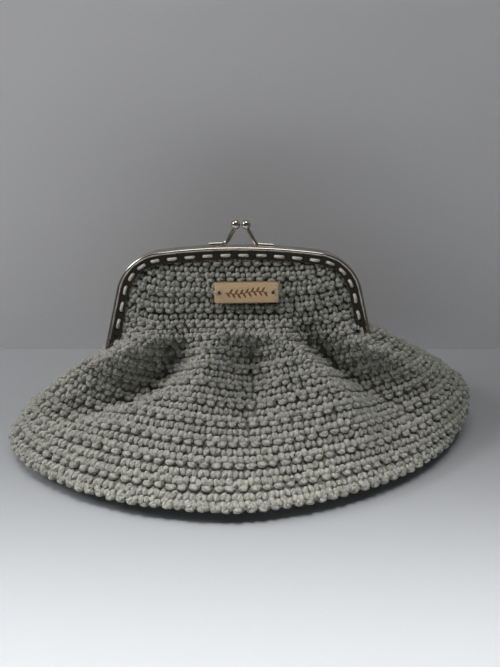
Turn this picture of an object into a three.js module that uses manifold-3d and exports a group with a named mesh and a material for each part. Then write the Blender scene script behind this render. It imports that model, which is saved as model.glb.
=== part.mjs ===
// Crocheted purse with an arched kiss-lock frame, closed and standing on its base.
// Lengths in millimetres, +Z up, the front towards -Y, the base on Z = 0.
import * as THREE from 'three';
import { mergeVertices } from 'three/addons/utils/BufferGeometryUtils.js';
import Module from 'manifold-3d';

const wasm = await Module();
wasm.setup();

// Placing of the whole purse: its box is centred on X = 0, Y = 0.
const CENTRE_X = 2.08;
const CENTRE_Y = -12.83;

// Crochet pouch.
const WALL = 4.2; // thickness of the crochet
const PANEL_WALL = 2.6; // thickness where it is drawn into the frame
const PANEL_FROM = 52; // height where the wall starts to thin
const PANEL_TO = 66; // height where it has thinned
const BASE_THICK = 4; // thickness of the base
const FOOT_Z = 3; // height where the base turns out under the hem
const FOOT_INSET = 5; // the base curls up to there over this width
const FLOOR_INSET = 6.2; // the floor inside, inwards from the base's turn
const INNER_FROM = 15; // height where the inside wall starts
const LEVELS = [3, 6, 8, 10.5, 15, 20, 25, 30, 35, 40, 45, 50, 54, 58, 62, 66, 72, 80, 86, 91];
const SLOPE_STEP = 0.25; // step used to work out a surface direction
const SAME_POINT = 1e-4; // points closer than this are one

// One row for each level of the pouch: height, half width to the left and right, front and back Y,
// how far the long axis is turned (rise of Y for each millimetre of X), roundness of front and back.
const SECTION_COLUMNS = ['z', 'left', 'right', 'front', 'back', 'turn', 'power', 'backPower'];
const SECTIONS = [
  [3, 99, 104, -60.5, 45.5, 0.045, 1.85, 2.3],
  [8, 114, 111, -74.0, 47.5, 0.045, 1.77, 2.15],
  [12, 110, 117, -66.5, 48.0, 0.07, 1.77, 2.1],
  [17, 106.5, 118.3, -59.0, 47.0, 0.078, 1.8, 2.1],
  [25, 96, 113, -49.5, 43.5, 0.08, 1.85, 2.1],
  [33, 84, 101.5, -39.5, 36.5, 0.065, 1.92, 2.1],
  [41, 71.8, 87.5, -30.0, 29.6, 0.05, 2.0, 2.15],
  [49, 64.7, 73, -21.5, 20.7, 0.035, 2.2, 2.3],
  [56, 60.5, 64, -15.4, 15.0, 0.015, 2.6, 2.7],
  [63, 58.0, 58.5, -11.0, 11.6, 0, 3.1, 3.1],
  [71, 55.6, 55.6, -7.6, 11.4, 0, 3.3, 3.3],
  [80, 52.0, 52.0, -4.4, 12.6, 0, 3.4, 3.4],
  [86, 46.5, 46.5, -0.8, 12.4, 0, 4, 4],
  [91, 37.5, 37.5, 1.2, 12.8, 0, 5, 5],
];

// Folds: each has a spread in degrees to its left and right, a power for its profile, and at each
// level an angle round the pouch (0 front, 90 right) and a rise (mm, minus for a valley).
const FOLD_LEVELS = [10, 20, 30, 40, 50, 58, 66];
const FOLDS = [
  { name: 'left lobe', spreadLeft: 15, spreadRight: 17, power: 2,
    angle: [-82, -80, -76, -68, -50, -34, -30], rise: [0, 2, 5, 8, 9.5, 6, 0] },
  { name: 'left crease', spreadLeft: 12, spreadRight: 9, power: 1.7,
    angle: [-80, -70, -54, -39, -27, -19, -16], rise: [0, -1, -6, -12.5, -11.5, -3.5, 0] },
  { name: 'left ridge', spreadLeft: 8, spreadRight: 9, power: 1.8,
    angle: [-20, -19, -17, -15, -11, -5, -3], rise: [0, 1.5, 4, 6.5, 9, 7, 0] },
  { name: 'middle valley', spreadLeft: 6, spreadRight: 6, power: 1.6,
    angle: [3, 3, 3, 3.5, 3.5, 2, 0], rise: [0, -1.5, -4.5, -7.5, -8.5, -3.5, 0] },
  { name: 'right ridge', spreadLeft: 10, spreadRight: 6.5, power: 2,
    angle: [29, 29, 28, 26, 21, 12, 8], rise: [0, 2.5, 7, 10, 10, 6.5, 0] },
  { name: 'right hollow', spreadLeft: 7.5, spreadRight: 10, power: 1.7,
    angle: [50, 48.5, 45, 40.5, 33, 24.5, 21], rise: [0, -0.4, -3.6, -7.8, -9, -3.5, 0] },
  { name: 'right fold', spreadLeft: 9, spreadRight: 10, power: 1.8,
    angle: [62, 61, 60, 57, 52, 50, 50], rise: [0, 0.5, 2, 7, 10.5, 6.5, 0] },
  { name: 'right lobe', spreadLeft: 16, spreadRight: 14, power: 2,
    angle: [78, 77, 76, 75, 74, 74, 74], rise: [0, 0, 1, 3, 5, 3, 0] },
  { name: 'left gusset', spreadLeft: 11, spreadRight: 11, power: 1.8,
    angle: [-97, -97, -97, -97, -97, -97, -97], rise: [0, -1, -3.5, -4.5, -3, -0.5, 0] },
  { name: 'right gusset', spreadLeft: 11, spreadRight: 11, power: 1.8,
    angle: [100, 100, 100, 100, 100, 100, 100], rise: [0, -1, -3.5, -4.5, -3, -0.5, 0] },
  { name: 'back left ridge', spreadLeft: 12, spreadRight: 12, power: 1.8,
    angle: [-150, -148, -146, -144, -142, -142, -142], rise: [0, 2, 5, 8, 8, 4, 0] },
  { name: 'back valley', spreadLeft: 12, spreadRight: 12, power: 1.6,
    angle: [180, 180, 180, 180, 180, 180, 180], rise: [0, -1.5, -4, -6.4, -6.8, -3, 0] },
  { name: 'back right ridge', spreadLeft: 12, spreadRight: 12, power: 1.8,
    angle: [146, 145, 144, 142, 140, 140, 140], rise: [0, 2, 5, 8, 8, 4, 0] },
];

// Folds the upright lines of the pouch's skin run along, left to right round the front, and the
// number of facets from each to the next; the last row goes round the back to the first.
const COLUMN_LINES = [
  ['left gusset', 12], ['left crease', 8], ['left ridge', 4], ['middle valley', 5],
  ['right ridge', 4], ['right hollow', 4], ['right fold', 7], ['right gusset', 18],
];

// Metal frame, drawn in its own plane: X across, "down" from the top of the arch, and depth away
// from the middle plane. The whole frame leans back.
const LEAN = THREE.MathUtils.degToRad(15);
const FRAME_TOP_Y = 8; // middle plane of the frame at the top of the arch
const FRAME_TOP_Z = 94.2;
const CROWN_HALF = 37.5; // half width of the gently crowned top
const CROWN_ANGLE = THREE.MathUtils.degToRad(7.5);
const CORNER_RADIUS = 23;
const LEG_ANGLE = THREE.MathUtils.degToRad(76); // direction of the legs, 90 is straight down
const LEG_LENGTH = 28.5;
const CROWN_STEPS = 7;
const CORNER_STEPS = 7;
const LEG_STEPS = 2;
const MIDDLE_GAP = 0.2; // from the middle plane to each half

// Cross-section of a half: distance inwards from the arch's outline, and depth.
const FRAME_SECTION = [
  [0.35, MIDDLE_GAP], [0.05, 2.6], [0, 5.4], [0.3, 6.4], [0.95, 6.85], [1.6, 6.6],
  [1.95, 6.2], [5.9, 6.2], [5.9, 5.4], [1.25, 5.4], [1.25, MIDDLE_GAP],
];
const HOLE_INSET = 4.0; // row of sew holes, inwards from the outline
const HOLE_RADIUS = 0.85;
const HOLE_PITCH = 4.15;
const HOLE_SIDES = 5;
const HOLE_END_MARGIN = 3;
const HOLE_FROM = 4.8; // depths between which each hole is cut
const HOLE_TO = 7.4;

// Kiss lock: a round rod soldered along the top of each half, bent up to a ball.
const LOCK_X = 0.8;
const LOCK_DEPTH = 2.5; // distance of the rods from the middle plane
const ROD_RADIUS = 0.95;
const ROD_SIDES = 7;
const ROD_STEPS = 11;
const BALL_RADIUS = 2.2;
const BALL_SEGMENTS = 12;
const BALL_RINGS = 8;
const BALL_RISE = 9.4; // ball centres above the top of the arch
const BALL_OFFSET = 2.4; // ball centres from the lock's middle
const BALL_DEPTH = 0.7;
// Rod path from the outer end of the foot to the ball: distance from the lock's middle, rise.
const ROD_PATH = [[15, 0.15], [11, 0.35], [8, 0.6], [6.2, 2.1], [4.6, 5], [3.2, 7.4]];

// Hinge: an ear on each leg end and a plain rivet across both.
const HINGE_DROP = 4.2; // hinge centre beyond the leg's end
const EAR_RADIUS = 3.2;
const EAR_THICK = 0.9;
const EAR_ROOT = 3.6; // how far the ear runs back along the leg
const EAR_HOLE = 1.5;
const FRONT_EAR_INSET = 0.3; // outer face of each ear, inwards from the outline
const BACK_EAR_INSET = 1.55;
const FRONT_EAR_ROOT_DEPTH = 5; // depth of each ear's root, inside the flange
const BACK_EAR_ROOT_DEPTH = 5.9;
const EAR_MIDDLE_GAP = 0.6; // from the middle plane to the ear's root
const EAR_ARC_FROM = 0.98 * Math.PI;
const EAR_ARC_TO = 2.42 * Math.PI;
const EAR_SEGMENTS = 10;
const PIN_RADIUS = 1.15;
const PIN_HEAD = 2.1;
const PIN_HEAD_THICK = 0.7;
const PIN_GAP = 0.3;
const PIN_SEGMENTS = 12;

// Room left in the pouch for the frame, in the frame's own section, and for each hinge.
const ROOM_SECTION = [
  [-1.5, -8.4], [6.4, -8.4], [6.4, -4.9], [1.8, -4.9], [1.8, 4.9], [6.4, 4.9], [6.4, 8.4], [-1.5, 8.4],
];
const ROOM_BEYOND = 0.5; // past the leg ends
const HINGE_ROOM_OUT = 1.5; // outwards from the outline
const HINGE_ROOM_IN = 4.2; // inwards
const HINGE_ROOM_DEPTH = 6.3; // to each side of the middle plane
const HINGE_ROOM_BELOW = 3.8; // beyond the hinge line
const HINGE_ROOM_ABOVE = 8.4; // back along the leg

// Wooden tag on the front.
const TAG_WIDTH = 29.6;
const TAG_HEIGHT = 9.8;
const TAG_THICK = 1.8;
const TAG_CORNER = 1.5;
const TAG_HOLE_RADIUS = 0.95;
const TAG_HOLE_X = 12.3;
const TAG_X = 3.4;
const TAG_Z = 76.8;
const TAG_STANDOFF = 1.3; // from the pouch's mean surface to the tag's back
const TAG_ROLL = THREE.MathUtils.degToRad(0.9);
const TAG_CURVE_STEPS = 3;
const TAG_HOLE_STEPS = 5;

const material = (color, roughness, metalness) => (
  new THREE.MeshStandardMaterial({ color, roughness, metalness })
);
const wool = material(0x9a9a8e, 0.95, 0);
const nickel = material(0xb9b4aa, 0.22, 1);
const birch = material(0xc9ad82, 0.6, 0);

// Smooth curve through the rows of a table: a cubic between neighbouring rows.
function alongTable(xs, ys, x) {
  const last = xs.length - 1;
  const at = Math.min(Math.max(x, xs[0]), xs[last]);
  let i = 0;
  while (i < last - 1 && at >= xs[i + 1]) i += 1;
  const slope = (k) => {
    if (k === 0) return (ys[1] - ys[0]) / (xs[1] - xs[0]);
    if (k === last) return (ys[last] - ys[last - 1]) / (xs[last] - xs[last - 1]);
    const before = xs[k] - xs[k - 1];
    const after = xs[k + 1] - xs[k];
    const low = (ys[k] - ys[k - 1]) / before;
    const high = (ys[k + 1] - ys[k]) / after;
    return (low * after + high * before) / (before + after);
  };
  const h = xs[i + 1] - xs[i];
  const t = (at - xs[i]) / h;
  const s = 1 - t;
  return (1 + 2 * t) * s * s * ys[i] + t * s * s * h * slope(i)
    + t * t * (3 - 2 * t) * ys[i + 1] - t * t * s * h * slope(i + 1);
}

const sectionColumn = Object.fromEntries(
  SECTION_COLUMNS.map((name, k) => [name, SECTIONS.map((row) => row[k])]),
);
const MOUTH_Z = SECTIONS[SECTIONS.length - 1][0];
const sectionValue = (name, z) => alongTable(sectionColumn.z, sectionColumn[name], z);
const signedPower = (v, e) => Math.sign(v) * Math.abs(v) ** e;

// Point of the pouch before its folds, at an angle in degrees and a height.
function smoothPoint(angle, z) {
  const a = THREE.MathUtils.degToRad(angle);
  const s = Math.sin(a);
  const c = Math.cos(a);
  const round = 2 / sectionValue(c > 0 ? 'power' : 'backPower', z);
  const front = sectionValue('front', z);
  const back = sectionValue('back', z);
  const x = sectionValue(s > 0 ? 'right' : 'left', z) * signedPower(s, round);
  const y = (front + back) / 2 - ((back - front) / 2) * signedPower(c, round)
    + sectionValue('turn', z) * x;
  return new THREE.Vector3(x, y, z);
}

// Rise of all folds at a place: each is a bell across its own path.
function foldRise(angle, z) {
  return FOLDS.reduce((sum, fold) => {
    const path = alongTable(FOLD_LEVELS, fold.angle, z);
    const off = THREE.MathUtils.euclideanModulo(angle - path + 180, 360) - 180;
    const spread = off < 0 ? fold.spreadLeft : fold.spreadRight;
    const height = alongTable(FOLD_LEVELS, fold.rise, z);
    return sum + height * Math.exp(-(Math.abs(off / spread) ** fold.power));
  }, 0);
}

function outward(angle, z) {
  const across = smoothPoint(angle + SLOPE_STEP, z).sub(smoothPoint(angle - SLOPE_STEP, z));
  const up = smoothPoint(angle, Math.min(z + SLOPE_STEP, MOUTH_Z))
    .sub(smoothPoint(angle, Math.max(z - SLOPE_STEP, FOOT_Z)));
  return across.cross(up).normalize();
}

// Point of the folded pouch, moved inwards by a depth.
function pouchPoint(angle, z, depth) {
  return smoothPoint(angle, z).addScaledVector(outward(angle, z), foldRise(angle, z) - depth);
}

const wallAt = (z) => WALL
  + (PANEL_WALL - WALL) * THREE.MathUtils.smoothstep(z, PANEL_FROM, PANEL_TO);

// Closed skin through rings of points, each cell cut along its shorter diagonal, with a flat fan
// at each end.
function skin(rings) {
  const n = rings[0].length;
  const points = rings.flat();
  const middle = (ring) => ring
    .reduce((sum, p) => sum.add(p), new THREE.Vector3())
    .divideScalar(n);
  points.push(middle(rings[0]), middle(rings[rings.length - 1]));
  const low = points.length - 2;
  const high = points.length - 1;
  const index = [];
  for (let r = 0; r < rings.length - 1; r += 1) {
    for (let k = 0; k < n; k += 1) {
      const next = (k + 1) % n;
      const a = r * n + k;
      const b = r * n + next;
      const rising = points[a].distanceTo(points[b + n]);
      const falling = points[b].distanceTo(points[a + n]);
      if (rising <= falling) index.push(a, b, b + n, a, b + n, a + n);
      else index.push(a, b, a + n, b, b + n, a + n);
    }
  }
  const top = (rings.length - 1) * n;
  for (let k = 0; k < n; k += 1) {
    const next = (k + 1) % n;
    index.push(low, next, k, high, top + k, top + next);
  }
  const geometry = new THREE.BufferGeometry();
  geometry.setAttribute(
    'position',
    new THREE.Float32BufferAttribute(points.flatMap((p) => [p.x, p.y, p.z]), 3),
  );
  geometry.setIndex(index);
  return geometry;
}

// Three.js geometry to a solid and back.
function solid(geometry, matrix) {
  const bare = geometry.clone();
  bare.deleteAttribute('normal');
  bare.deleteAttribute('uv');
  if (matrix) bare.applyMatrix4(matrix);
  const merged = mergeVertices(bare, SAME_POINT);
  const index = merged.index.array;
  return new wasm.Manifold(new wasm.Mesh({
    numProp: 3,
    vertProperties: new Float32Array(merged.attributes.position.array),
    triVerts: new Uint32Array(index),
  }));
}

function shell(body) {
  const mesh = body.getMesh();
  const geometry = new THREE.BufferGeometry();
  geometry.setAttribute('position', new THREE.BufferAttribute(mesh.vertProperties, 3));
  geometry.setIndex(new THREE.BufferAttribute(mesh.triVerts, 1));
  geometry.computeVertexNormals();
  return geometry;
}

// Angles of the skin's upright lines at a height.
function columnAngles(z) {
  const lineAngle = (name) => (
    alongTable(FOLD_LEVELS, FOLDS.find((fold) => fold.name === name).angle, z)
  );
  return COLUMN_LINES.flatMap(([name, count], row) => {
    const from = lineAngle(name);
    const closing = row === COLUMN_LINES.length - 1;
    const to = closing ? lineAngle(COLUMN_LINES[0][0]) + 360 : lineAngle(COLUMN_LINES[row + 1][0]);
    return Array.from({ length: count }, (_, k) => from + ((to - from) * k) / count);
  });
}

// Frame plane: inwards from the outline, along it and through it.
const crownRadius = CROWN_HALF / Math.sin(CROWN_ANGLE);
const cornerStart = new THREE.Vector2(CROWN_HALF, crownRadius * (1 - Math.cos(CROWN_ANGLE)));
const cornerCentre = new THREE.Vector2(
  cornerStart.x - CORNER_RADIUS * Math.sin(CROWN_ANGLE),
  cornerStart.y + CORNER_RADIUS * Math.cos(CROWN_ANGLE),
);
const legStart = new THREE.Vector2(
  cornerCentre.x + CORNER_RADIUS * Math.sin(LEG_ANGLE),
  cornerCentre.y - CORNER_RADIUS * Math.cos(LEG_ANGLE),
);
const crownLength = crownRadius * CROWN_ANGLE;
const cornerLength = CORNER_RADIUS * (LEG_ANGLE - CROWN_ANGLE);
const halfLength = crownLength + cornerLength + LEG_LENGTH;

// Outline of the arch at a distance along it from the top, to the right; minus goes left.
function archPoint(distance) {
  const side = Math.sign(distance) || 1;
  const d = Math.abs(distance);
  const point = new THREE.Vector2();
  let turn;
  if (d <= crownLength) {
    turn = d / crownRadius;
    point.set(crownRadius * Math.sin(turn), crownRadius * (1 - Math.cos(turn)));
  } else if (d <= crownLength + cornerLength) {
    turn = CROWN_ANGLE + (d - crownLength) / CORNER_RADIUS;
    point.set(
      cornerCentre.x + CORNER_RADIUS * Math.sin(turn),
      cornerCentre.y - CORNER_RADIUS * Math.cos(turn),
    );
  } else {
    turn = LEG_ANGLE;
    const rest = d - crownLength - cornerLength;
    point.set(legStart.x + rest * Math.cos(turn), legStart.y + rest * Math.sin(turn));
  }
  return { x: side * point.x, down: point.y, turn: side * turn };
}

// Axes at a place on the arch: inwards, along (to the right) and to the front.
function archMatrix(distance) {
  const { x, down, turn } = archPoint(distance);
  const inward = new THREE.Vector3(-Math.sin(turn), 0, -Math.cos(turn));
  const along = new THREE.Vector3(Math.cos(turn), 0, -Math.sin(turn));
  const front = new THREE.Vector3(0, -1, 0);
  return new THREE.Matrix4().makeBasis(inward, along, front).setPosition(x, 0, -down);
}

const spread = (from, to, steps) => (
  Array.from({ length: steps }, (_, k) => from + ((to - from) * (k + 1)) / steps)
);
const rightStations = [
  ...spread(0, crownLength, CROWN_STEPS),
  ...spread(crownLength, crownLength + cornerLength, CORNER_STEPS),
  ...spread(crownLength + cornerLength, halfLength, LEG_STEPS),
];
const stations = [...rightStations.map((d) => -d).reverse(), 0, ...rightStations];

// A closed section (inset, depth) carried along the whole arch, and a little past its ends.
function archSweep(table, beyond) {
  const outline = table.map(([inset, depth]) => new THREE.Vector2(inset, depth));
  if (THREE.ShapeUtils.isClockWise(outline)) outline.reverse();
  const reach = halfLength + beyond;
  const rings = [-reach, ...stations.slice(1, -1), reach].map((distance) => {
    const place = archMatrix(distance);
    return outline.map((p) => new THREE.Vector3(p.x, 0, p.y).applyMatrix4(place));
  });
  const n = outline.length;
  const index = [];
  for (let r = 0; r < rings.length - 1; r += 1) {
    for (let k = 0; k < n; k += 1) {
      const a = r * n + k;
      const b = r * n + ((k + 1) % n);
      index.push(a, b + n, b, a, a + n, b + n);
    }
  }
  const end = (rings.length - 1) * n;
  THREE.ShapeUtils.triangulateShape(outline, []).forEach(([a, b, c]) => {
    index.push(a, b, c, end + a, end + c, end + b);
  });
  const geometry = new THREE.BufferGeometry();
  geometry.setAttribute(
    'position',
    new THREE.Float32BufferAttribute(rings.flat().flatMap((p) => [p.x, p.y, p.z]), 3),
  );
  geometry.setIndex(index);
  return solid(geometry);
}

// Half of the frame; side is 1 at the front, -1 at the back.
const archHalf = (side) => (
  archSweep(FRAME_SECTION.map(([inset, depth]) => [inset, side * depth]), 0)
);

// Sew holes: short prisms across the flange.
function cutHoles(half, side) {
  const count = Math.floor((halfLength - HOLE_END_MARGIN) / HOLE_PITCH);
  const drill = new THREE.CylinderGeometry(
    HOLE_RADIUS, HOLE_RADIUS, HOLE_TO - HOLE_FROM, HOLE_SIDES,
  );
  drill.rotateX(Math.PI / 2);
  let body = half;
  for (let k = -count; k <= count; k += 1) {
    const place = archMatrix(k * HOLE_PITCH);
    const at = new THREE.Matrix4().makeTranslation(
      HOLE_INSET, 0, (side * (HOLE_FROM + HOLE_TO)) / 2,
    );
    body = body.subtract(solid(drill, place.multiply(at)));
  }
  return body;
}

// Rod and ball of the kiss lock; side 1 is the front half with the right-hand rod.
function lockArm(side) {
  const path = ROD_PATH.map(([out, rise], k) => {
    const bend = k / (ROD_PATH.length - 1);
    const depth = LOCK_DEPTH + (BALL_DEPTH - LOCK_DEPTH) * bend * bend;
    return new THREE.Vector3(LOCK_X + side * out, -side * depth, rise);
  });
  const ball = new THREE.Vector3(LOCK_X + side * BALL_OFFSET, -side * BALL_DEPTH, BALL_RISE);
  const rod = new THREE.ExtrudeGeometry(
    new THREE.Shape(new THREE.Path().absarc(0, 0, ROD_RADIUS, 0, 2 * Math.PI).getPoints(ROD_SIDES)),
    {
      steps: ROD_STEPS,
      bevelEnabled: false,
      extrudePath: new THREE.CatmullRomCurve3([...path, ball], false, 'centripetal'),
    },
  );
  const sphere = new THREE.SphereGeometry(BALL_RADIUS, BALL_SEGMENTS, BALL_RINGS);
  sphere.rotateX(Math.PI / 2);
  return solid(rod).add(solid(sphere, new THREE.Matrix4().makeTranslation(ball.x, ball.y, ball.z)));
}

const hingeAt = (hand) => archMatrix(hand * (halfLength + HINGE_DROP));

// Ear of a half at one leg end: a plate beside the leg with a round eye on the hinge line.
function ear(side, hand) {
  const inset = side > 0 ? FRONT_EAR_INSET : BACK_EAR_INSET;
  const reach = -HINGE_DROP - EAR_ROOT;
  const rootDepth = side > 0 ? FRONT_EAR_ROOT_DEPTH : BACK_EAR_ROOT_DEPTH;
  const shape = new THREE.Shape();
  shape.moveTo(reach, rootDepth);
  shape.lineTo(reach, EAR_MIDDLE_GAP);
  shape.lineTo(-HINGE_DROP, EAR_MIDDLE_GAP);
  shape.absarc(0, 0, EAR_RADIUS, EAR_ARC_FROM, EAR_ARC_TO, false);
  shape.lineTo(-HINGE_DROP, rootDepth);
  shape.closePath();
  shape.holes.push(new THREE.Path().absarc(0, 0, EAR_HOLE, 0, 2 * Math.PI, true));
  const plate = new THREE.ExtrudeGeometry(shape, {
    depth: EAR_THICK, bevelEnabled: false, curveSegments: EAR_SEGMENTS,
  });
  // The shape's axes are along the leg (outwards from the arch) and away from the middle plane.
  const place = new THREE.Matrix4().makeBasis(
    new THREE.Vector3(0, hand, 0),
    new THREE.Vector3(0, 0, side),
    new THREE.Vector3(hand * side, 0, 0),
  );
  const start = hand * side > 0 ? inset : inset + EAR_THICK;
  place.setPosition(start, 0, 0);
  return solid(plate, hingeAt(hand).multiply(place));
}

function frameHalf(side) {
  return cutHoles(archHalf(side), side)
    .add(lockArm(side))
    .add(ear(side, 1))
    .add(ear(side, -1));
}

// Rivet: shank and two flat heads, turned about the hinge line.
function hingePin(hand) {
  const outer = FRONT_EAR_INSET - PIN_GAP;
  const inner = BACK_EAR_INSET + EAR_THICK + PIN_GAP;
  const profile = [
    [0, outer - PIN_HEAD_THICK], [PIN_HEAD, outer - PIN_HEAD_THICK], [PIN_HEAD, outer],
    [PIN_RADIUS, outer], [PIN_RADIUS, inner], [PIN_HEAD, inner],
    [PIN_HEAD, inner + PIN_HEAD_THICK], [0, inner + PIN_HEAD_THICK],
  ].map(([r, h]) => new THREE.Vector2(r, h));
  const lathe = new THREE.LatheGeometry(profile, PIN_SEGMENTS);
  const place = new THREE.Matrix4().makeRotationZ(-Math.PI / 2);
  return solid(lathe, hingeAt(hand).multiply(place));
}

const frameMatrix = new THREE.Matrix4()
  .makeRotationX(-LEAN)
  .setPosition(0, FRAME_TOP_Y, FRAME_TOP_Z);

// Room for a hinge: a box round the ears and the rivet.
function hingeRoom(hand) {
  const length = HINGE_ROOM_BELOW + HINGE_ROOM_ABOVE;
  const box = new THREE.BoxGeometry(HINGE_ROOM_OUT + HINGE_ROOM_IN, length, 2 * HINGE_ROOM_DEPTH);
  return solid(box, hingeAt(hand).multiply(new THREE.Matrix4().makeTranslation(
    (HINGE_ROOM_IN - HINGE_ROOM_OUT) / 2, hand * (HINGE_ROOM_BELOW - length / 2), 0,
  )));
}

function pouch() {
  const ringAt = (z, depth) => columnAngles(z).map((a) => pouchPoint(a, z, depth));
  const baseRing = (inset, z) => columnAngles(FOOT_Z).map((a) => (
    smoothPoint(a, FOOT_Z).addScaledVector(outward(a, FOOT_Z).setZ(0).normalize(), -inset).setZ(z)
  ));
  const outerRings = [baseRing(FOOT_INSET, 0), ...LEVELS.map((z) => ringAt(z, 0))];
  const innerRings = [
    baseRing(FLOOR_INSET, BASE_THICK),
    ...LEVELS.filter((z) => z >= INNER_FROM).map((z) => ringAt(z, wallAt(z))),
  ];
  const lift = new THREE.Vector3(0, 0, WALL);
  innerRings.push(innerRings[innerRings.length - 1].map((p) => p.clone().add(lift)));
  const room = archSweep(ROOM_SECTION, ROOM_BEYOND)
    .add(hingeRoom(1))
    .add(hingeRoom(-1))
    .transform(frameMatrix.elements);
  return solid(skin(outerRings))
    .subtract(solid(skin(innerRings)))
    .subtract(room);
}

function tag() {
  const w = TAG_WIDTH / 2;
  const h = TAG_HEIGHT / 2;
  const r = TAG_CORNER;
  const shape = new THREE.Shape();
  shape.moveTo(-w + r, -h);
  shape.lineTo(w - r, -h);
  shape.absarc(w - r, -h + r, r, -Math.PI / 2, 0, false);
  shape.lineTo(w, h - r);
  shape.absarc(w - r, h - r, r, 0, Math.PI / 2, false);
  shape.lineTo(-w + r, h);
  shape.absarc(-w + r, h - r, r, Math.PI / 2, Math.PI, false);
  shape.lineTo(-w, -h + r);
  shape.absarc(-w + r, -h + r, r, Math.PI, Math.PI * 1.5, false);
  [-1, 1].forEach((hand) => {
    const hole = new THREE.Path(
      new THREE.Path().absarc(hand * TAG_HOLE_X, 0, TAG_HOLE_RADIUS, 0, 2 * Math.PI, true)
        .getPoints(TAG_HOLE_STEPS * 2),
    );
    shape.holes.push(hole);
  });
  return new THREE.ExtrudeGeometry(shape, {
    depth: TAG_THICK, bevelEnabled: false, curveSegments: TAG_CURVE_STEPS,
  });
}

const purse = new THREE.Group();
purse.position.set(-CENTRE_X, -CENTRE_Y, 0);

const add = (name, geometry, look, parent) => {
  const mesh = new THREE.Mesh(geometry, look);
  mesh.name = name;
  parent.add(mesh);
  return mesh;
};

add('crochet_body', shell(pouch()), wool, purse);

const frame = new THREE.Group();
frame.position.set(0, FRAME_TOP_Y, FRAME_TOP_Z);
frame.rotation.x = -LEAN;
purse.add(frame);
add('frame_front', shell(frameHalf(1)), nickel, frame);
add('frame_back', shell(frameHalf(-1)), nickel, frame);
add('hinge_pin_left', shell(hingePin(-1)), nickel, frame);
add('hinge_pin_right', shell(hingePin(1)), nickel, frame);

const tagMesh = add('wooden_tag', tag(), birch, purse);
const tagSeat = pouchPoint(0, TAG_Z, -TAG_STANDOFF);
tagMesh.position.set(TAG_X, tagSeat.y, tagSeat.z);
tagMesh.rotation.set(Math.PI / 2 - LEAN, 0, 0);
tagMesh.rotateZ(TAG_ROLL);

export default purse;
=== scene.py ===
import math

import bpy
import numpy as np
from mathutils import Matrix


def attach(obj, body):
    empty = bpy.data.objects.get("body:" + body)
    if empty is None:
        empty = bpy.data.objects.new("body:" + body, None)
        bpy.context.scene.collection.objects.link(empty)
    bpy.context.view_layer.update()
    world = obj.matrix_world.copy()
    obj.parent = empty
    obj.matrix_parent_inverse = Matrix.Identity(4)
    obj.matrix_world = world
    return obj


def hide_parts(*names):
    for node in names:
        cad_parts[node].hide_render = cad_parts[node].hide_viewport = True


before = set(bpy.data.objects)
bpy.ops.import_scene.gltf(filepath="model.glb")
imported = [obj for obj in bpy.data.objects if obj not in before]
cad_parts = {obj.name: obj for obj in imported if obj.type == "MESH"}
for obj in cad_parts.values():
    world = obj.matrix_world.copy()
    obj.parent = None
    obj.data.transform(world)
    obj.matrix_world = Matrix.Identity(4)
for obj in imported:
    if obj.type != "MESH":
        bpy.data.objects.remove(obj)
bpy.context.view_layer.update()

# Crocheted purse with an arched kiss-lock frame. Shapes are worked out in millimetres in the
# pouch's own axes, moved by CENTRE so that the purse's box stands over the origin, and written in
# metres.
MM = 0.001
CENTRE = np.array([2.08, -12.83, 0.0])
RNG = np.random.default_rng(20)

# Pouch: one row for each level, half widths to the left and right, front and back, how far the
# long axis is turned, and the roundness of the front and the back.
SECTION_NAMES = ("z", "left", "right", "front", "back", "turn", "power", "back_power")
SECTION_ROWS = np.array([
    [3, 99, 104, -60.5, 45.5, 0.045, 1.85, 2.3],
    [8, 114, 111, -74.0, 47.5, 0.045, 1.77, 2.15],
    [12, 110, 117, -66.5, 48.0, 0.07, 1.77, 2.1],
    [17, 106.5, 118.3, -59.0, 47.0, 0.078, 1.8, 2.1],
    [25, 96, 113, -49.5, 43.5, 0.08, 1.85, 2.1],
    [33, 84, 101.5, -39.5, 36.5, 0.065, 1.92, 2.1],
    [41, 71.8, 87.5, -30.0, 29.6, 0.05, 2.0, 2.15],
    [49, 64.7, 73, -21.5, 20.7, 0.035, 2.2, 2.3],
    [56, 60.5, 64, -15.4, 15.0, 0.015, 2.6, 2.7],
    [63, 58.0, 58.5, -11.0, 11.6, 0, 3.1, 3.1],
    [71, 55.6, 55.6, -7.6, 11.4, 0, 3.3, 3.3],
    [80, 52.0, 52.0, -4.4, 12.6, 0, 3.4, 3.4],
    [86, 46.5, 46.5, -0.8, 12.4, 0, 4, 4],
    [91, 37.5, 37.5, 1.2, 12.8, 0, 5, 5],
])
SECTION = dict(zip(SECTION_NAMES, SECTION_ROWS.T))
FOOT_Z = 3.0
MOUTH_Z = 91.0

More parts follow.
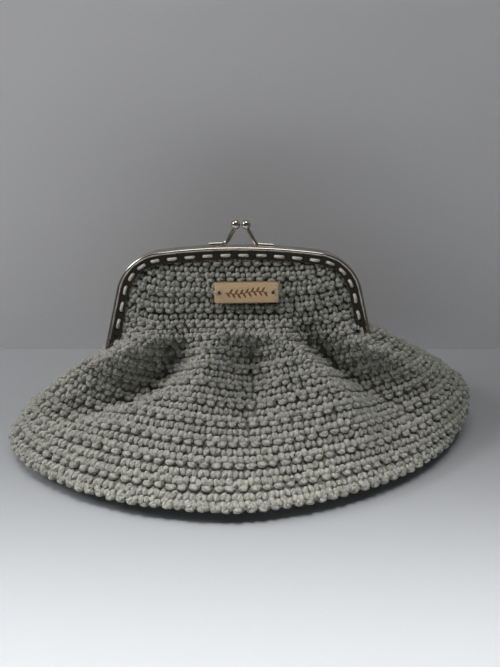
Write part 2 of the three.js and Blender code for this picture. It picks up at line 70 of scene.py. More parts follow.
# Folds: spread in degrees to the left and right, power of the bell, then at each level the angle
# round the pouch (0 front, 90 right) and the rise, minus for a valley.
FOLD_LEVELS = np.array([10, 20, 30, 40, 50, 58, 66], float)
FOLDS = (
    ("left lobe", 15, 17, 2, (-82, -80, -76, -68, -50, -34, -30), (0, 2, 5, 8, 9.5, 6, 0)),
    ("left crease", 12, 9, 1.7, (-80, -70, -54, -39, -27, -19, -16),
     (0, -1, -6, -12.5, -11.5, -3.5, 0)),
    ("left ridge", 8, 9, 1.8, (-20, -19, -17, -15, -11, -5, -3), (0, 1.5, 4, 6.5, 9, 7, 0)),
    ("middle valley", 6, 6, 1.6, (3, 3, 3, 3.5, 3.5, 2, 0), (0, -1.5, -4.5, -7.5, -8.5, -3.5, 0)),
    ("right ridge", 10, 6.5, 2, (29, 29, 28, 26, 21, 12, 8), (0, 2.5, 7, 10, 10, 6.5, 0)),
    ("right hollow", 7.5, 10, 1.7, (50, 48.5, 45, 40.5, 33, 24.5, 21),
     (0, -0.4, -3.6, -7.8, -9, -3.5, 0)),
    ("right fold", 9, 10, 1.8, (62, 61, 60, 57, 52, 50, 50), (0, 0.5, 2, 7, 10.5, 6.5, 0)),
    ("right lobe", 16, 14, 2, (78, 77, 76, 75, 74, 74, 74), (0, 0, 1, 3, 5, 3, 0)),
    ("left gusset", 11, 11, 1.8, (-97,) * 7, (0, -1, -3.5, -4.5, -3, -0.5, 0)),
    ("right gusset", 11, 11, 1.8, (100,) * 7, (0, -1, -3.5, -4.5, -3, -0.5, 0)),
    ("back left ridge", 12, 12, 1.8, (-150, -148, -146, -144, -142, -142, -142),
     (0, 2, 5, 8, 8, 4, 0)),
    ("back valley", 12, 12, 1.6, (180,) * 7, (0, -1.5, -4, -6.4, -6.8, -3, 0)),
    ("back right ridge", 12, 12, 1.8, (146, 145, 144, 142, 140, 140, 140), (0, 2, 5, 8, 8, 4, 0)),
)
SLOPE_STEP = 0.25

# Metal frame in its own leaning plane.
LEAN = math.radians(15)
FRAME_TOP = np.array([0.0, 8.0, 94.2])
CROWN_HALF = 37.5
CROWN_ANGLE = math.radians(7.5)
CORNER_RADIUS = 23.0
LEG_ANGLE = math.radians(76)
LEG_LENGTH = 28.5
FLANGE_EDGE = 5.9
FLANGE_DEPTH = 5.4
FLANGE_FACE = 6.2
HOLE_INSET = 4.0
HOLE_PITCH = 4.15
HOLE_RADIUS = 0.85
HOLE_COUNT = 21
HOLE_BAND = (2.4, 5.6)
HOLE_ACROSS = 8
HOLE_UP = 4
TAIL_POINTS = 5
# Profiles of one half as (inset, depth): the channel's inside, the rolled rim, the flange's edge.
CHANNEL = np.array([[HOLE_BAND[0], FLANGE_DEPTH], [1.25, FLANGE_DEPTH], [1.25, 0.2], [0.35, 0.2],
                    [0.05, 2.6]])
RIM = np.array([[0.0, 5.4], [0.08, 5.95], [0.3, 6.4], [0.6, 6.7], [0.95, 6.85], [1.3, 6.78],
                [1.6, 6.58], [1.8, 6.36], [1.95, 6.2]])
EDGE = np.array([[HOLE_BAND[1], FLANGE_FACE], [5.78, FLANGE_FACE], [FLANGE_EDGE, 6.08],
                 [FLANGE_EDGE, 5.52], [5.78, FLANGE_DEPTH], [HOLE_BAND[1], FLANGE_DEPTH]])
FLANGE_SLACK = 0.01
# Kiss lock: the rod as (across from the lock's middle, up), bent up to the ball.
LOCK_X = 0.8
LOCK_DEPTH = 2.5
ROD_RADIUS = 0.95
ROD_RINGS = 40
ROD_SIDES = 16
ROD_PATH = np.array([[15, 0.15], [11, 0.35], [8, 0.6], [6.2, 2.1], [4.6, 5], [3.2, 7.4], [2.4, 9.4]])
BALL_RADIUS = 2.2
BALL_DEPTH = 0.7
# Hinge ears below the leg ends, the back half's lying inside the front half's.
HINGE_DROP = 4.2
EAR_RADIUS = 3.2
EAR_THICK = 0.9
EAR_ROOT = 3.6
EAR_HOLE = 1.5
EAR_INSET = {"front": 0.3, "back": 1.55}
EAR_ROOT_DEPTH = {"front": 5.0, "back": 5.9}
EAR_SIDES = 24
EAR_TRIM = 0.04
EAR_PLATE_DEPTH = 0.6
EAR_HOLE_CLEAR = 0.3
EAR_TIP_SHARE = 0.8
# Running stitch: shares of the gap between two holes, depth at each, and the thread's taper.
THREAD_RADIUS = 0.68
THREAD_SHARES = np.array([0.0, 0.1, 0.5, 0.9, 1.0])
THREAD_DEPTHS = np.array([4.9, 6.35, 6.78, 6.35, 4.9])
THREAD_TAPER = np.array([0.8, 1, 1, 1, 1, 1, 1, 0.8])
THREAD_SIDES = 8
THREAD_FLAT = 0.85
THREAD_WANDER = 0.08

# Tag: along, up and thick; its edge as (drawn in, height) from the back to the face.
TAG_SIZE = np.array([29.6, 9.8, 1.8])
TAG_FACE = TAG_SIZE[2]
TAG_EDGE = ((0.3, 0.0), (0.08, 0.1), (0.0, 0.32), (0.0, TAG_FACE - 0.4), (0.1, TAG_FACE - 0.12),
            (0.4, TAG_FACE))
TAG_X = 3.4
TAG_Z = 76.8
TAG_STANDOFF = 1.3
TAG_ROLL = math.radians(0.9)
TAG_CORNER = 1.5
TAG_HOLE_X = 12.3
TAG_HOLE_RADIUS = 0.95
TAG_CORNER_POINTS = 6
TAG_LONG_STEPS = 8
TAG_END_STEPS = 6
TAG_MARGIN = 0.6
TAG_PRESS_REACH = 8.0
TAG_PRESS_GAP = 0.12
# Burnt ornament: a waving stem and the leaves on it.
STEM_HALF = 9.6
STEM_POINTS = 21
STEM_RINGS = 61
STEM_WAVE = 0.55
STEM_HALF_WAVE = 9.0
STEM_RADIUS = 0.2
STEM_FLAT = 0.2
LEAF_COUNT = 15
LEAF_ROOTS = (-9.0, 8.0)
LEAF_ALONG = 1.5
LEAF_UP = 2.2
LEAF_BEND = (0.85, 1.15)
LEAF_POINTS = 5
LEAF_RINGS = 10
LEAF_RADIUS = 0.5
LEAF_TAPER = (0.1, 0.97)
LEAF_FLAT = 0.08
# Tag's thread: out past the hole's middle, height at each point, and the two threads' spread.
TAG_THREAD_OUT = np.array([0.5, 0.65, 1.2, 2.2, 2.75, 2.95])
TAG_THREAD_HEIGHT = np.array([-0.3, TAG_FACE + 0.12, TAG_FACE + 0.2, TAG_FACE + 0.12, TAG_FACE - 0.5,
                              -0.8])
TAG_THREAD_SPREAD = (-0.28, 0.3)
TAG_THREAD_FAN = (0.6, 2.4)
TAG_THREAD_RADIUS = 0.16
TAG_THREAD_RINGS = 16
TAG_THREAD_SIDES = 6


def along(xs, ys, x):
    """Smooth curve through a table: a cubic between neighbouring rows, with their mean slopes."""
    xs = np.asarray(xs, float)
    ys = np.asarray(ys, float)
    x = np.clip(x, xs[0], xs[-1])
    slopes = np.gradient(ys, xs)
    k = np.clip(np.searchsorted(xs, x, side="right") - 1, 0, len(xs) - 2)
    h = xs[k + 1] - xs[k]
    t = (x - xs[k]) / h
    s = 1 - t
    return ((1 + 2 * t) * s * s * ys[k] + t * s * s * h * slopes[k]
            + t * t * (3 - 2 * t) * ys[k + 1] - t * t * s * h * slopes[k + 1])


def signed_power(v, e):
    """Power of the size of v, with the sign of v."""
    return np.sign(v) * np.abs(v) ** e


def smooth_wall(angle, z):
    """Pouch before its folds: at each height a superellipse with its own left, right, front and
    back reach, its long axis turned a little."""
    a = np.radians(angle)
    s, c = np.sin(a), np.cos(a)
    part = {name: along(SECTION["z"], SECTION[name], z) for name in SECTION_NAMES[1:]}
    e = 2 / np.where(c > 0, part["power"], part["back_power"])
    x = np.where(s > 0, part["right"], part["left"]) * signed_power(s, e)
    y = ((part["front"] + part["back"]) / 2
         - (part["back"] - part["front"]) / 2 * signed_power(c, e) + part["turn"] * x)
    return np.stack(np.broadcast_arrays(x, y, z), -1)


def fold_rise(angle, z):
    """Sum over the folds of rise times a bell of the angle from the fold's path."""
    total = np.zeros(np.broadcast(angle, z).shape)
    for _, left, right, power, path, rise in FOLDS:
        off = (angle - along(FOLD_LEVELS, path, z) + 180) % 360 - 180
        spread = np.where(off < 0, left, right)
        total += along(FOLD_LEVELS, rise, z) * np.exp(-np.abs(off / spread) ** power)
    return total


def unit(v):
    """Vectors scaled to a length of one."""
    return v / np.maximum(np.linalg.norm(v, axis=-1, keepdims=True), 1e-9)


def outward(angle, z):
    """Direction out of the smooth wall: its slope round the pouch crossed with its slope up it."""
    across = smooth_wall(angle + SLOPE_STEP, z) - smooth_wall(angle - SLOPE_STEP, z)
    up = (smooth_wall(angle, np.minimum(z + SLOPE_STEP, MOUTH_Z))
          - smooth_wall(angle, np.maximum(z - SLOPE_STEP, FOOT_Z)))
    return unit(np.cross(across, up))


def pouch(angle, z, depth=0.0):
    """Folded pouch: the smooth wall moved along its outward direction by the folds less a depth."""
    angle, z = np.broadcast_arrays(np.asarray(angle, float), np.asarray(z, float))
    rise = fold_rise(angle, z) - depth
    return smooth_wall(angle, z) + outward(angle, z) * rise[..., None]


# Arch of the frame, drawn as x to the right and down from its top.
CROWN_RADIUS = CROWN_HALF / math.sin(CROWN_ANGLE)
CORNER_START = np.array([CROWN_HALF, CROWN_RADIUS * (1 - math.cos(CROWN_ANGLE))])
CORNER_CENTRE = CORNER_START + CORNER_RADIUS * np.array([-math.sin(CROWN_ANGLE),
                                                         math.cos(CROWN_ANGLE)])
LEG_START = CORNER_CENTRE + CORNER_RADIUS * np.array([math.sin(LEG_ANGLE), -math.cos(LEG_ANGLE)])
CROWN_LENGTH = CROWN_RADIUS * CROWN_ANGLE
CORNER_LENGTH = CORNER_RADIUS * (LEG_ANGLE - CROWN_ANGLE)
HALF_LENGTH = CROWN_LENGTH + CORNER_LENGTH + LEG_LENGTH


def to_frame(points):
    """Pouch axes to the frame's: x, depth to the front, down from the arch's top."""
    p = points - FRAME_TOP
    c, s = math.cos(LEAN), math.sin(LEAN)
    depth = -(p[..., 1] * c - p[..., 2] * s)
    down = -(p[..., 1] * s + p[..., 2] * c)
    return np.stack([p[..., 0], depth, down], -1)


def from_frame(points):
    """The frame's axes back to the pouch's."""
    c, s = math.cos(LEAN), math.sin(LEAN)
    x, depth, down = points[..., 0], points[..., 1], points[..., 2]
    return np.stack([x, -depth * c - down * s, depth * s - down * c], -1) + FRAME_TOP


FACING = from_frame(np.array([0.0, 1, 0])) - from_frame(np.zeros(3))


def arch(distance):
    """Point and turn of the arch's outline at a distance from its top: a shallow arc, a round
    corner and a straight leg, the same to the left for minus distances."""
    side = np.where(distance < 0, -1.0, 1.0)
    d = np.abs(distance)
    turn = np.where(d < CROWN_LENGTH, d / CROWN_RADIUS,
                    np.minimum(CROWN_ANGLE + (d - CROWN_LENGTH) / CORNER_RADIUS, LEG_ANGLE))
    rest = np.maximum(d - CROWN_LENGTH - CORNER_LENGTH, 0)
    in_crown = d < CROWN_LENGTH
    x = np.where(in_crown, CROWN_RADIUS * np.sin(turn),
                 CORNER_CENTRE[0] + CORNER_RADIUS * np.sin(turn) + rest * math.cos(LEG_ANGLE))
    down = np.where(in_crown, CROWN_RADIUS * (1 - np.cos(turn)),
                    CORNER_CENTRE[1] - CORNER_RADIUS * np.cos(turn) + rest * math.sin(LEG_ANGLE))
    return side * x, down, side * turn


def arch_place(distance, inset, depth):
    """Point in the frame's axes at a distance along the arch, inwards from it, and a depth."""
    x, down, turn = arch(distance)
    return np.stack(np.broadcast_arrays(x - inset * np.sin(turn), depth,
                                        down + inset * np.cos(turn)), -1)


def arch_inset(x, down):
    """Distance inwards from the arch's outline, from the crown's arc, the corner's or the leg."""
    x = np.abs(x)
    crown = CROWN_RADIUS - np.hypot(x, down - CROWN_RADIUS)
    crown_turn = np.arctan2(x, CROWN_RADIUS - down)
    out = np.stack([x, down], -1) - CORNER_CENTRE
    corner = CORNER_RADIUS - np.hypot(out[..., 0], out[..., 1])
    corner_turn = np.arctan2(out[..., 0], -out[..., 1])
    leg = -((x - LEG_START[0]) * math.sin(LEG_ANGLE) - (down - LEG_START[1]) * math.cos(LEG_ANGLE))
    return np.where(crown_turn < CROWN_ANGLE, crown, np.where(corner_turn < LEG_ANGLE, corner, leg))


# Room that the frame leaves the yarn, in the frame's axes.
LEG_END_DOWN = float(arch(np.array(HALF_LENGTH))[1])
LEG_END_ROOM = 1.0
LEG_END_EASE = 0.5
LEG_END_FADE = 2.0
CHANNEL_DEPTH = 6.5
CHANNEL_INSET = (-2.5, 3.4)
TUCK_REACH = 11.0
FLANGE_GAP = 0.35
SWELL = 1.5
OUTER_SWELL = 3.0
RIM_CLEAR = 1.45
RIM_PUSH = 3.0
RIM_OUTSIDE = -1.5
INSET_STEP = 0.05


def inside_channel(points):
    """True for places that lie in the frame's channel, behind its flange and above the leg ends."""
    f = to_frame(points)
    inset = arch_inset(f[..., 0], f[..., 2])
    level = (f[..., 2] < LEG_END_DOWN - LEG_END_ROOM) & (np.abs(f[..., 1]) < CHANNEL_DEPTH)
    return level & (inset < CHANNEL_INSET[1]) & (inset > CHANNEL_INSET[0])


def tuck(points):
    """Yarn near the frame is pressed under its flange: its depth is held to a limit that grows
    away from the flange's edges and below the leg ends, and nothing is left in the arch's rim."""
    f = to_frame(points)
    x, depth, down = f[..., 0], f[..., 1], f[..., 2]
    inset = arch_inset(x, down)
    below = np.maximum(down - LEG_END_DOWN + LEG_END_EASE, 0)
    room = (FLANGE_DEPTH - FLANGE_GAP + SWELL * np.maximum(inset - FLANGE_EDGE - FLANGE_GAP, 0)
            + SWELL * below + OUTER_SWELL * np.maximum(-inset, 0))
    step = INSET_STEP
    slope_x = (arch_inset(x + step, down) - arch_inset(x - step, down)) / (2 * step)
    slope_down = (arch_inset(x, down + step) - arch_inset(x, down - step)) / (2 * step)
    fade = np.clip((LEG_END_DOWN - LEG_END_EASE - down) / LEG_END_FADE, 0, 1)
    near = np.abs(depth) < TUCK_REACH
    hold = np.where(near & (inset > RIM_OUTSIDE), np.clip(RIM_CLEAR - inset, 0, RIM_PUSH) * fade, 0)
    held = np.where(near, np.clip(depth, -room, room), depth)
    return from_frame(np.stack([x + hold * slope_x, held, down + hold * slope_down], -1))


TAG_SEAT = pouch(0.0, TAG_Z, -TAG_STANDOFF)
TAG_ACROSS = np.array([math.cos(TAG_ROLL), 0.0, math.sin(TAG_ROLL)])
TAG_OUT = np.array([0.0, -math.cos(LEAN), math.sin(LEAN)])
TAG_UP = np.cross(TAG_ACROSS, -TAG_OUT)
TAG_UP = TAG_UP / np.linalg.norm(TAG_UP)
TAG_ORIGIN = np.array([TAG_X, TAG_SEAT[1], TAG_SEAT[2]])


def press_under_tag(points):
    """Yarn behind the tag is flattened to just below the tag's back."""
    p = points - TAG_ORIGIN
    u, v, w = p @ TAG_ACROSS, p @ TAG_UP, p @ TAG_OUT
    along_tag = np.abs(u) < TAG_SIZE[0] / 2 + TAG_MARGIN
    up_tag = np.abs(v) < TAG_SIZE[1] / 2 + TAG_MARGIN
    behind = along_tag & up_tag & (np.abs(w) < TAG_PRESS_REACH)
    drop = np.where(behind, np.maximum(w + TAG_PRESS_GAP, 0), 0)
    return points - drop[..., None] * TAG_OUT


def new_mesh(name, points, faces, material, uv=None, tone=None):
    """A mesh object at the origin from points in millimetres in the pouch's axes and arrays of
    faces; uv holds a pair for each point and tone one number for each point."""
    co = ((np.asarray(points, float).reshape(-1, 3) - CENTRE) * MM).astype(np.float32)
    faces = [np.asarray(f, np.int32) for f in faces if len(f)]
    loops = np.concatenate([f.ravel() for f in faces])
    sizes = np.concatenate([np.full(len(f), f.shape[1], np.int32) for f in faces])
    starts = np.concatenate([[0], np.cumsum(sizes)[:-1]]).astype(np.int32)
    mesh = bpy.data.meshes.new(name)
    mesh.vertices.add(len(co))
    mesh.vertices.foreach_set("co", co.ravel())
    mesh.loops.add(len(loops))
    mesh.loops.foreach_set("vertex_index", loops)
    mesh.polygons.add(len(sizes))
    mesh.polygons.foreach_set("loop_start", starts)
    mesh.polygons.foreach_set("use_smooth", np.full(len(sizes), True))
    if uv is not None:
        layer = mesh.uv_layers.new(name="strand")
        layer.data.foreach_set("uv", np.asarray(uv, np.float32).reshape(-1, 2)[loops].ravel())
    if tone is not None:
        layer = mesh.attributes.new("tone", "FLOAT", "POINT")
        layer.data.foreach_set("value", np.asarray(tone, np.float32).ravel())
    mesh.update(calc_edges=True)
    mesh.materials.append(material)
    obj = bpy.data.objects.new(name, mesh)
    bpy.context.scene.collection.objects.link(obj)
    return obj


def grid_faces(rows, cols, closed):
    """Quads of a grid whose points run along columns first; closed joins the last to the first."""
    r = np.arange(rows - 1)[:, None]
    c = np.arange(cols if closed else cols - 1)[None, :]
    n = (c + 1) % cols
    return np.stack([r * cols + c, r * cols + n, (r + 1) * cols + n, (r + 1) * cols + c],
                    -1).reshape(-1, 4)


# Strands: sides and rings of a stitch's strand, and how far its twist may start along the yarn.
SIDES = 6
RINGS = 6
SPLINE_STEP = 1e-3
TWIST_STARTS = 20


def tube_faces(rings, sides):
    """Quads of one closed strand: its side, and a cap of quads at each end."""
    wall = grid_faces(rings, sides, True)
    k = np.arange((sides - 2) // 2)
    low = np.stack([0 * k, sides - 1 - 2 * k, sides - 2 - 2 * k, sides - 3 - 2 * k], -1)
    top = (rings - 1) * sides
    high = top + np.stack([0 * k, 1 + 2 * k, 2 + 2 * k, 3 + 2 * k], -1)
    return np.concatenate([wall, low, high])


def spline_weights(count, rings):
    """Matrix that takes control points to points on a smooth curve through them, and the matrix
    for its direction."""
    knots = np.linspace(0, 1, count)
    t = np.linspace(0, 1, rings)
    eye = np.eye(count)
    step = SPLINE_STEP
    at = np.stack([along(knots, row, t) for row in eye], -1)
    ahead = np.stack([along(knots, row, np.minimum(t + step, 1)) for row in eye], -1)
    behind = np.stack([along(knots, row, np.maximum(t - step, 0)) for row in eye], -1)
    return at, ahead - behind


def strands(control, radius, out, rings=RINGS, sides=SIDES, flat=1.0):
    """Round strands through control points (strand, point, xyz): a circle of the radius carried
    along each smooth path, its upper side towards out. Returns points, uv and faces."""
    count = control.shape[1]
    at, slope = spline_weights(count, rings)
    path = np.einsum("rk,skx->srx", at, control)
    tangent = unit(np.einsum("rk,skx->srx", slope, control))
    side = unit(np.cross(tangent, out[:, None, :]))
    top = np.cross(side, tangent)
    turn = np.linspace(0, 2 * np.pi, sides, endpoint=False)
    size = np.broadcast_to(radius, (len(control), rings))[:, :, None, None]
    ring = (np.cos(turn)[:, None] * side[:, :, None, :]
            + flat * np.sin(turn)[:, None] * top[:, :, None, :])
    points = path[:, :, None, :] + size * ring
    length = np.cumsum(np.linalg.norm(np.diff(path, axis=1), axis=-1), axis=1)
    u = np.concatenate([np.zeros((len(control), 1)), length], 1)
    u = u + RNG.uniform(0, TWIST_STARTS, (len(control), 1))
    uv = np.stack(np.broadcast_arrays(u[:, :, None], turn / (2 * np.pi)), -1)
    faces = tube_faces(rings, sides)
    shift = np.arange(len(control))[:, None, None] * (rings * sides)
    return points.reshape(-1, 3), uv.reshape(-1, 2), (faces[None] + shift).reshape(-1, 4)


# Stitch drawings on a cell 5 wide and 4.6 high: across, up, out of the cloth; then the radius, and
# how much the stitches differ in place, lean, size and thickness.
CELL = np.array([5.0, 4.6])
BAR = np.array([[1.45, 1.6, -1.4], [1.5, 1.2, 0.05], [2.5, 1.02, 0.7], [3.5, 1.2, 0.05],
                [3.55, 1.6, -1.4]])
LEFT_KNOB = np.array([[1.8, 2.4, -1.0], [1.5, 2.85, 0.2], [1.3, 3.3, 0.45], [1.15, 3.75, 0.15],
                      [1.15, 4.1, -1.1]])
RIGHT_KNOB = np.array([[3.2, 2.2, -1.0], [3.45, 2.6, 0.15], [3.65, 3.0, 0.35], [3.8, 3.4, 0.05],
                       [3.85, 3.75, -1.1]])
LEFT_LEG = np.array([[1.9, 4.0, -1.9], [1.55, 3.1, -0.5], [1.2, 2.0, 0.0], [1.0, 0.6, -0.7]])
RIGHT_LEG = np.array([[3.2, 3.8, -1.9], [3.5, 2.9, -0.55], [3.75, 1.8, -0.05], [3.95, 0.4, -0.8]])
RAISED = ((BAR, 1.3), (LEFT_KNOB, 1.5), (RIGHT_KNOB, 1.4))
SUNK = ((LEFT_LEG, 1.45), (RIGHT_LEG, 1.4))
TAPER = np.array([0.72, 0.96, 1.0, 1.0, 0.96, 0.72])
JITTER = 0.14
WAVER = 0.07
SEAT = -1.0
SEAT_SPREAD = 0.2
LEAN_SPREAD = 0.13
SIZE_SPREAD = 0.07
THICKNESS = (0.94, 1.06)


def stitches(drawings, origin, across, up, out, width, height):
    """Every stitch of a set: each drawing is scaled to the cell's width and height, turned, sized
    and moved a little at random, and set on the cloth by its directions across, up and out."""
    number = len(origin)
    scale = np.stack([width / CELL[0], height / CELL[1],
                      0.5 * (width / CELL[0] + height / CELL[1])], -1)
    basis = np.stack([across, up, out], 1)
    push = SEAT + RNG.normal(0, SEAT_SPREAD, number)
    lean = RNG.normal(0, LEAN_SPREAD, number)
    c, s = np.cos(lean), np.sin(lean)
    zero, one = np.zeros(number), np.ones(number)
    turn = np.stack([np.stack([c, s, zero], -1), np.stack([-s, c, zero], -1),
                     np.stack([zero, zero, one], -1)], 1)
    turn = turn * RNG.normal(1, SIZE_SPREAD, (number, 1, 1))
    middle = np.stack([zero, height / 2, zero], -1)[:, None, :]
    tone = RNG.uniform(0, 1, number)
    parts = []
    for drawing, radius in drawings:
        local = (drawing[None] - np.array([CELL[0] / 2, 0, 0])) * scale[:, None, :]
        local = local + RNG.normal(0, JITTER, (number, 1, 3)) + RNG.normal(0, WAVER, local.shape)
        local = np.einsum("skc,scx->skx", local - middle, turn) + middle
        local[..., 2] += push[:, None]
        control = origin[:, None, :] + np.einsum("skc,scx->skx", local, basis)
        size = radius * scale[:, 2] * RNG.uniform(*THICKNESS, number)
        points, uv, faces = strands(control, size[:, None] * TAPER[None, :], out)
        parts.append((points, uv, faces, np.repeat(tone, RINGS * SIDES)))
    return join(parts)


def join(parts):
    """Sets of points, uv, faces and tone as one set."""
    shift = np.cumsum([0] + [len(p[0]) for p in parts])
    return (np.concatenate([p[0] for p in parts]), np.concatenate([p[1] for p in parts]),
            np.concatenate([p[2] + s for p, s in zip(parts, shift)]),
            np.concatenate([p[3] for p in parts]))


# Rows of crochet: a sunk row and a raised row make a pair, lower near the frame.
PAIR_LEVELS = (12.0, 60.0)
PAIR_HEIGHTS = (10.3, 7.5)
STITCH_WIDTHS = (5.15, 4.65)
RAISED_SHARE = 0.58
ROUND_STEPS = 1440
HEM_ROW = (7.6, 10.4)
HEM_SHIFT = 0.25
UNDER_ROWS = (3.0, 4.55, 6.1, 7.6)
UNDER_SHIFT = 0.3
SKIRT_ROWS = 10
ROW_ANGLES = np.arange(-180.0, 180.0, 2.0)
ROW_SMOOTHING = 7.0
LEVEL_POINTS = 400
COUNTED_SPAN = 40
PLACE_SPREAD = 0.03
ACROSS_STEP = 1.2
ROW_HEIGHTS = (2.6, 7.5)
SIDE_ANGLES = (-97, 100)


def row_levels():
    """Height of each row's edge at each angle: the length up the cloth from the hem row to the
    mouth, counted in pairs of rows, is shared out alike all round and smoothed round the pouch."""
    z = np.linspace(HEM_ROW[1], MOUTH_Z, LEVEL_POINTS)
    line = pouch(ROW_ANGLES[:, None], z[None, :])
    pair_height = np.interp(z[1:], PAIR_LEVELS, PAIR_HEIGHTS)
    step = np.linalg.norm(np.diff(line, axis=1), axis=-1) / pair_height
    count = np.concatenate([np.zeros((len(line), 1)), np.cumsum(step, axis=1)], 1)
    pairs = int(round(np.median(count[np.abs(ROW_ANGLES) < COUNTED_SPAN, -1])))
    share = np.concatenate([[k, k + 1 - RAISED_SHARE] for k in range(pairs)] + [[pairs]]) / pairs
    levels = np.stack([np.interp(share, c / c[-1], z) for c in count])
    off = (ROW_ANGLES[:, None] - ROW_ANGLES[None, :] + 180) % 360 - 180
    weight = np.exp(-0.5 * (off / ROW_SMOOTHING) ** 2)
    return (weight / weight.sum(1, keepdims=True)) @ levels


ROW_LEVELS = row_levels()
ROW_COUNT = ROW_LEVELS.shape[1] - 1
ROW_SHIFTS = RNG.uniform(0, 1, ROW_COUNT)


def row_edge(k, angle):
    """Height of the lower edge of row k at an angle round the pouch."""
    return np.interp(angle, ROW_ANGLES, ROW_LEVELS[:, k], period=360)


def round_row(low, high, shift):
    """Stitch places of one row between two edges, each a height at every angle: equal arcs round
    the folded pouch along the row's middle, measured in steps that close up towards the middles of
    the flat faces and the ends, with the directions across, up and out of the cloth."""
    share = np.linspace(-1, 1, ROUND_STEPS + 1)
    angle = 180 * (share - np.sin(4 * np.pi * share) / (4 * np.pi))
    line = pouch(angle, 0.5 * (low(angle) + high(angle)))
    length = np.concatenate([[0], np.cumsum(np.linalg.norm(np.diff(line, axis=0), axis=1))])
    width = np.interp(np.median(line[:, 2]), PAIR_LEVELS, STITCH_WIDTHS)
    count = int(round(length[-1] / width))
    width = length[-1] / count
    at = (np.arange(count) + shift + RNG.normal(0, PLACE_SPREAD, count)) * width
    a = np.interp(at % length[-1], length, angle)
    middle = 0.5 * (low(a) + high(a))
    across = unit(pouch(a + ACROSS_STEP, middle) - pouch(a - ACROSS_STEP, middle))
    bottom, top = pouch(a, low(a)), pouch(a, high(a))
    rise = top - bottom
    rise = rise - np.sum(rise * across, -1, keepdims=True) * across
    height = np.clip(np.linalg.norm(rise, axis=-1), *ROW_HEIGHTS)
    up = unit(rise)
    out = np.cross(across, up)
    origin = 0.5 * (bottom + top) - up * height[:, None] / 2
    return a, origin, across, up, out, np.full(count, width), height


def is_front(angle):
    """True between the two gussets, on the front of the pouch."""
    return (angle > SIDE_ANGLES[0]) & (angle < SIDE_ANGLES[1])


def wall_stitches(front, first, last):
    """All the stitches of the front or the back in the rows from first to last, but for those
    that would lie inside the frame's channel."""
    parts = []
    for k in range(first, last):
        row = round_row(lambda a: row_edge(k, a), lambda a: row_edge(k + 1, a), ROW_SHIFTS[k])
        centre = row[1] + row[3] * row[6][:, None] / 2
        chosen = (is_front(row[0]) == front) & ~inside_channel(centre)
        parts.append(stitches(RAISED if k % 2 else SUNK, *(v[chosen] for v in row[1:])))
    return join(parts)


def level_row(low, high, front, drawings, shift):
    """One row of stitches between two constant heights, for the front or the back."""
    row = round_row(lambda a: 0 * a + low, lambda a: 0 * a + high, shift)
    chosen = is_front(row[0]) == front
    return stitches(drawings, *(v[chosen] for v in row[1:]))


def hem_stitches(front):
    """The hem row, whose bars scallop the pouch's widest edge, and the rows that turn in under it
    to the base."""
    parts = [level_row(*HEM_ROW, front, RAISED, HEM_SHIFT)]
    for k, (low, high) in enumerate(zip(UNDER_ROWS[:-1], UNDER_ROWS[1:])):
        parts.append(level_row(low, high, front, SUNK, UNDER_SHIFT * k))
    return join(parts)


# Base: rounds of stitches, each a share of the way out to the hem, over a middle line.
BASE_ROUNDS = 11
BASE_SHARES = (0.945, 0.03)
BASE_MIDDLE = np.array([4.5, -12.0, 0.0])
BASE_LINE = 52.0 * np.array([1.0, 0.13, 0])
BASE_WIDTH = 5.1
BASE_HEIGHT = 5.3
BASE_DROP = 2.3
BASE_LIFT = np.array([0, 0, 0.3])
# Cloth behind the stitches: its depth by height, the lining's depth and the layers of the base.
WALL_COLUMNS = 288
WALL_LEVELS = np.concatenate([np.linspace(FOOT_Z, 66, 46), np.linspace(67.5, MOUTH_Z - 0.8, 14)])
CLOTH_LEVELS = (9, 14)
CLOTH_DEPTHS = (1.3, 2.0)
LINING_DEPTH = 4.2
LINING_LOW = 14
SOLE_SHARES = (0.05, 0.4, 0.75, 0.93)
SOLE_LIFT = np.array([0, 0, 1.6])
INSOLE_SHARES = (0.85, 0.5, 0.05)
INSOLE_LIFT = np.array([0, 0, 3.6])


def base_point(angle, share):
    """Flat oval base: the hem's outline drawn in towards a middle line."""
    hem = smooth_wall(angle, np.full_like(angle, FOOT_Z))
    line = BASE_LINE * np.sin(np.radians(angle))[..., None]
    flat = BASE_MIDDLE + (hem - BASE_MIDDLE) * share + line * (1 - share)
    return flat * np.array([1.0, 1, 0])


def base_stitches():
    """Rounds of stitches that cover the base, seen from below."""
    parts = []
    outer, inner = BASE_SHARES
    angle = np.linspace(-180, 180, ROUND_STEPS + 1)
    for k in range(BASE_ROUNDS):
        share = outer - (outer - inner) * k / (BASE_ROUNDS - 1)
        line = base_point(angle, share)
        length = np.concatenate([[0], np.cumsum(np.linalg.norm(np.diff(line, axis=0), axis=1))])
        count = max(int(round(length[-1] / BASE_WIDTH)), 3)
        a = np.interp((np.arange(count) + 0.5 * (k % 2)) * length[-1] / count, length, angle)
        across = -unit(base_point(a + 1, share) - base_point(a - 1, share))
        out = np.broadcast_to(np.array([0.0, 0, -1]), across.shape)
        up = np.cross(out, across)
        origin = base_point(a, share) + BASE_LIFT - up * BASE_DROP
        parts.append(stitches(SUNK, origin, across, up, out,
                              np.full(count, length[-1] / count), np.full(count, BASE_HEIGHT)))
    return join(parts)


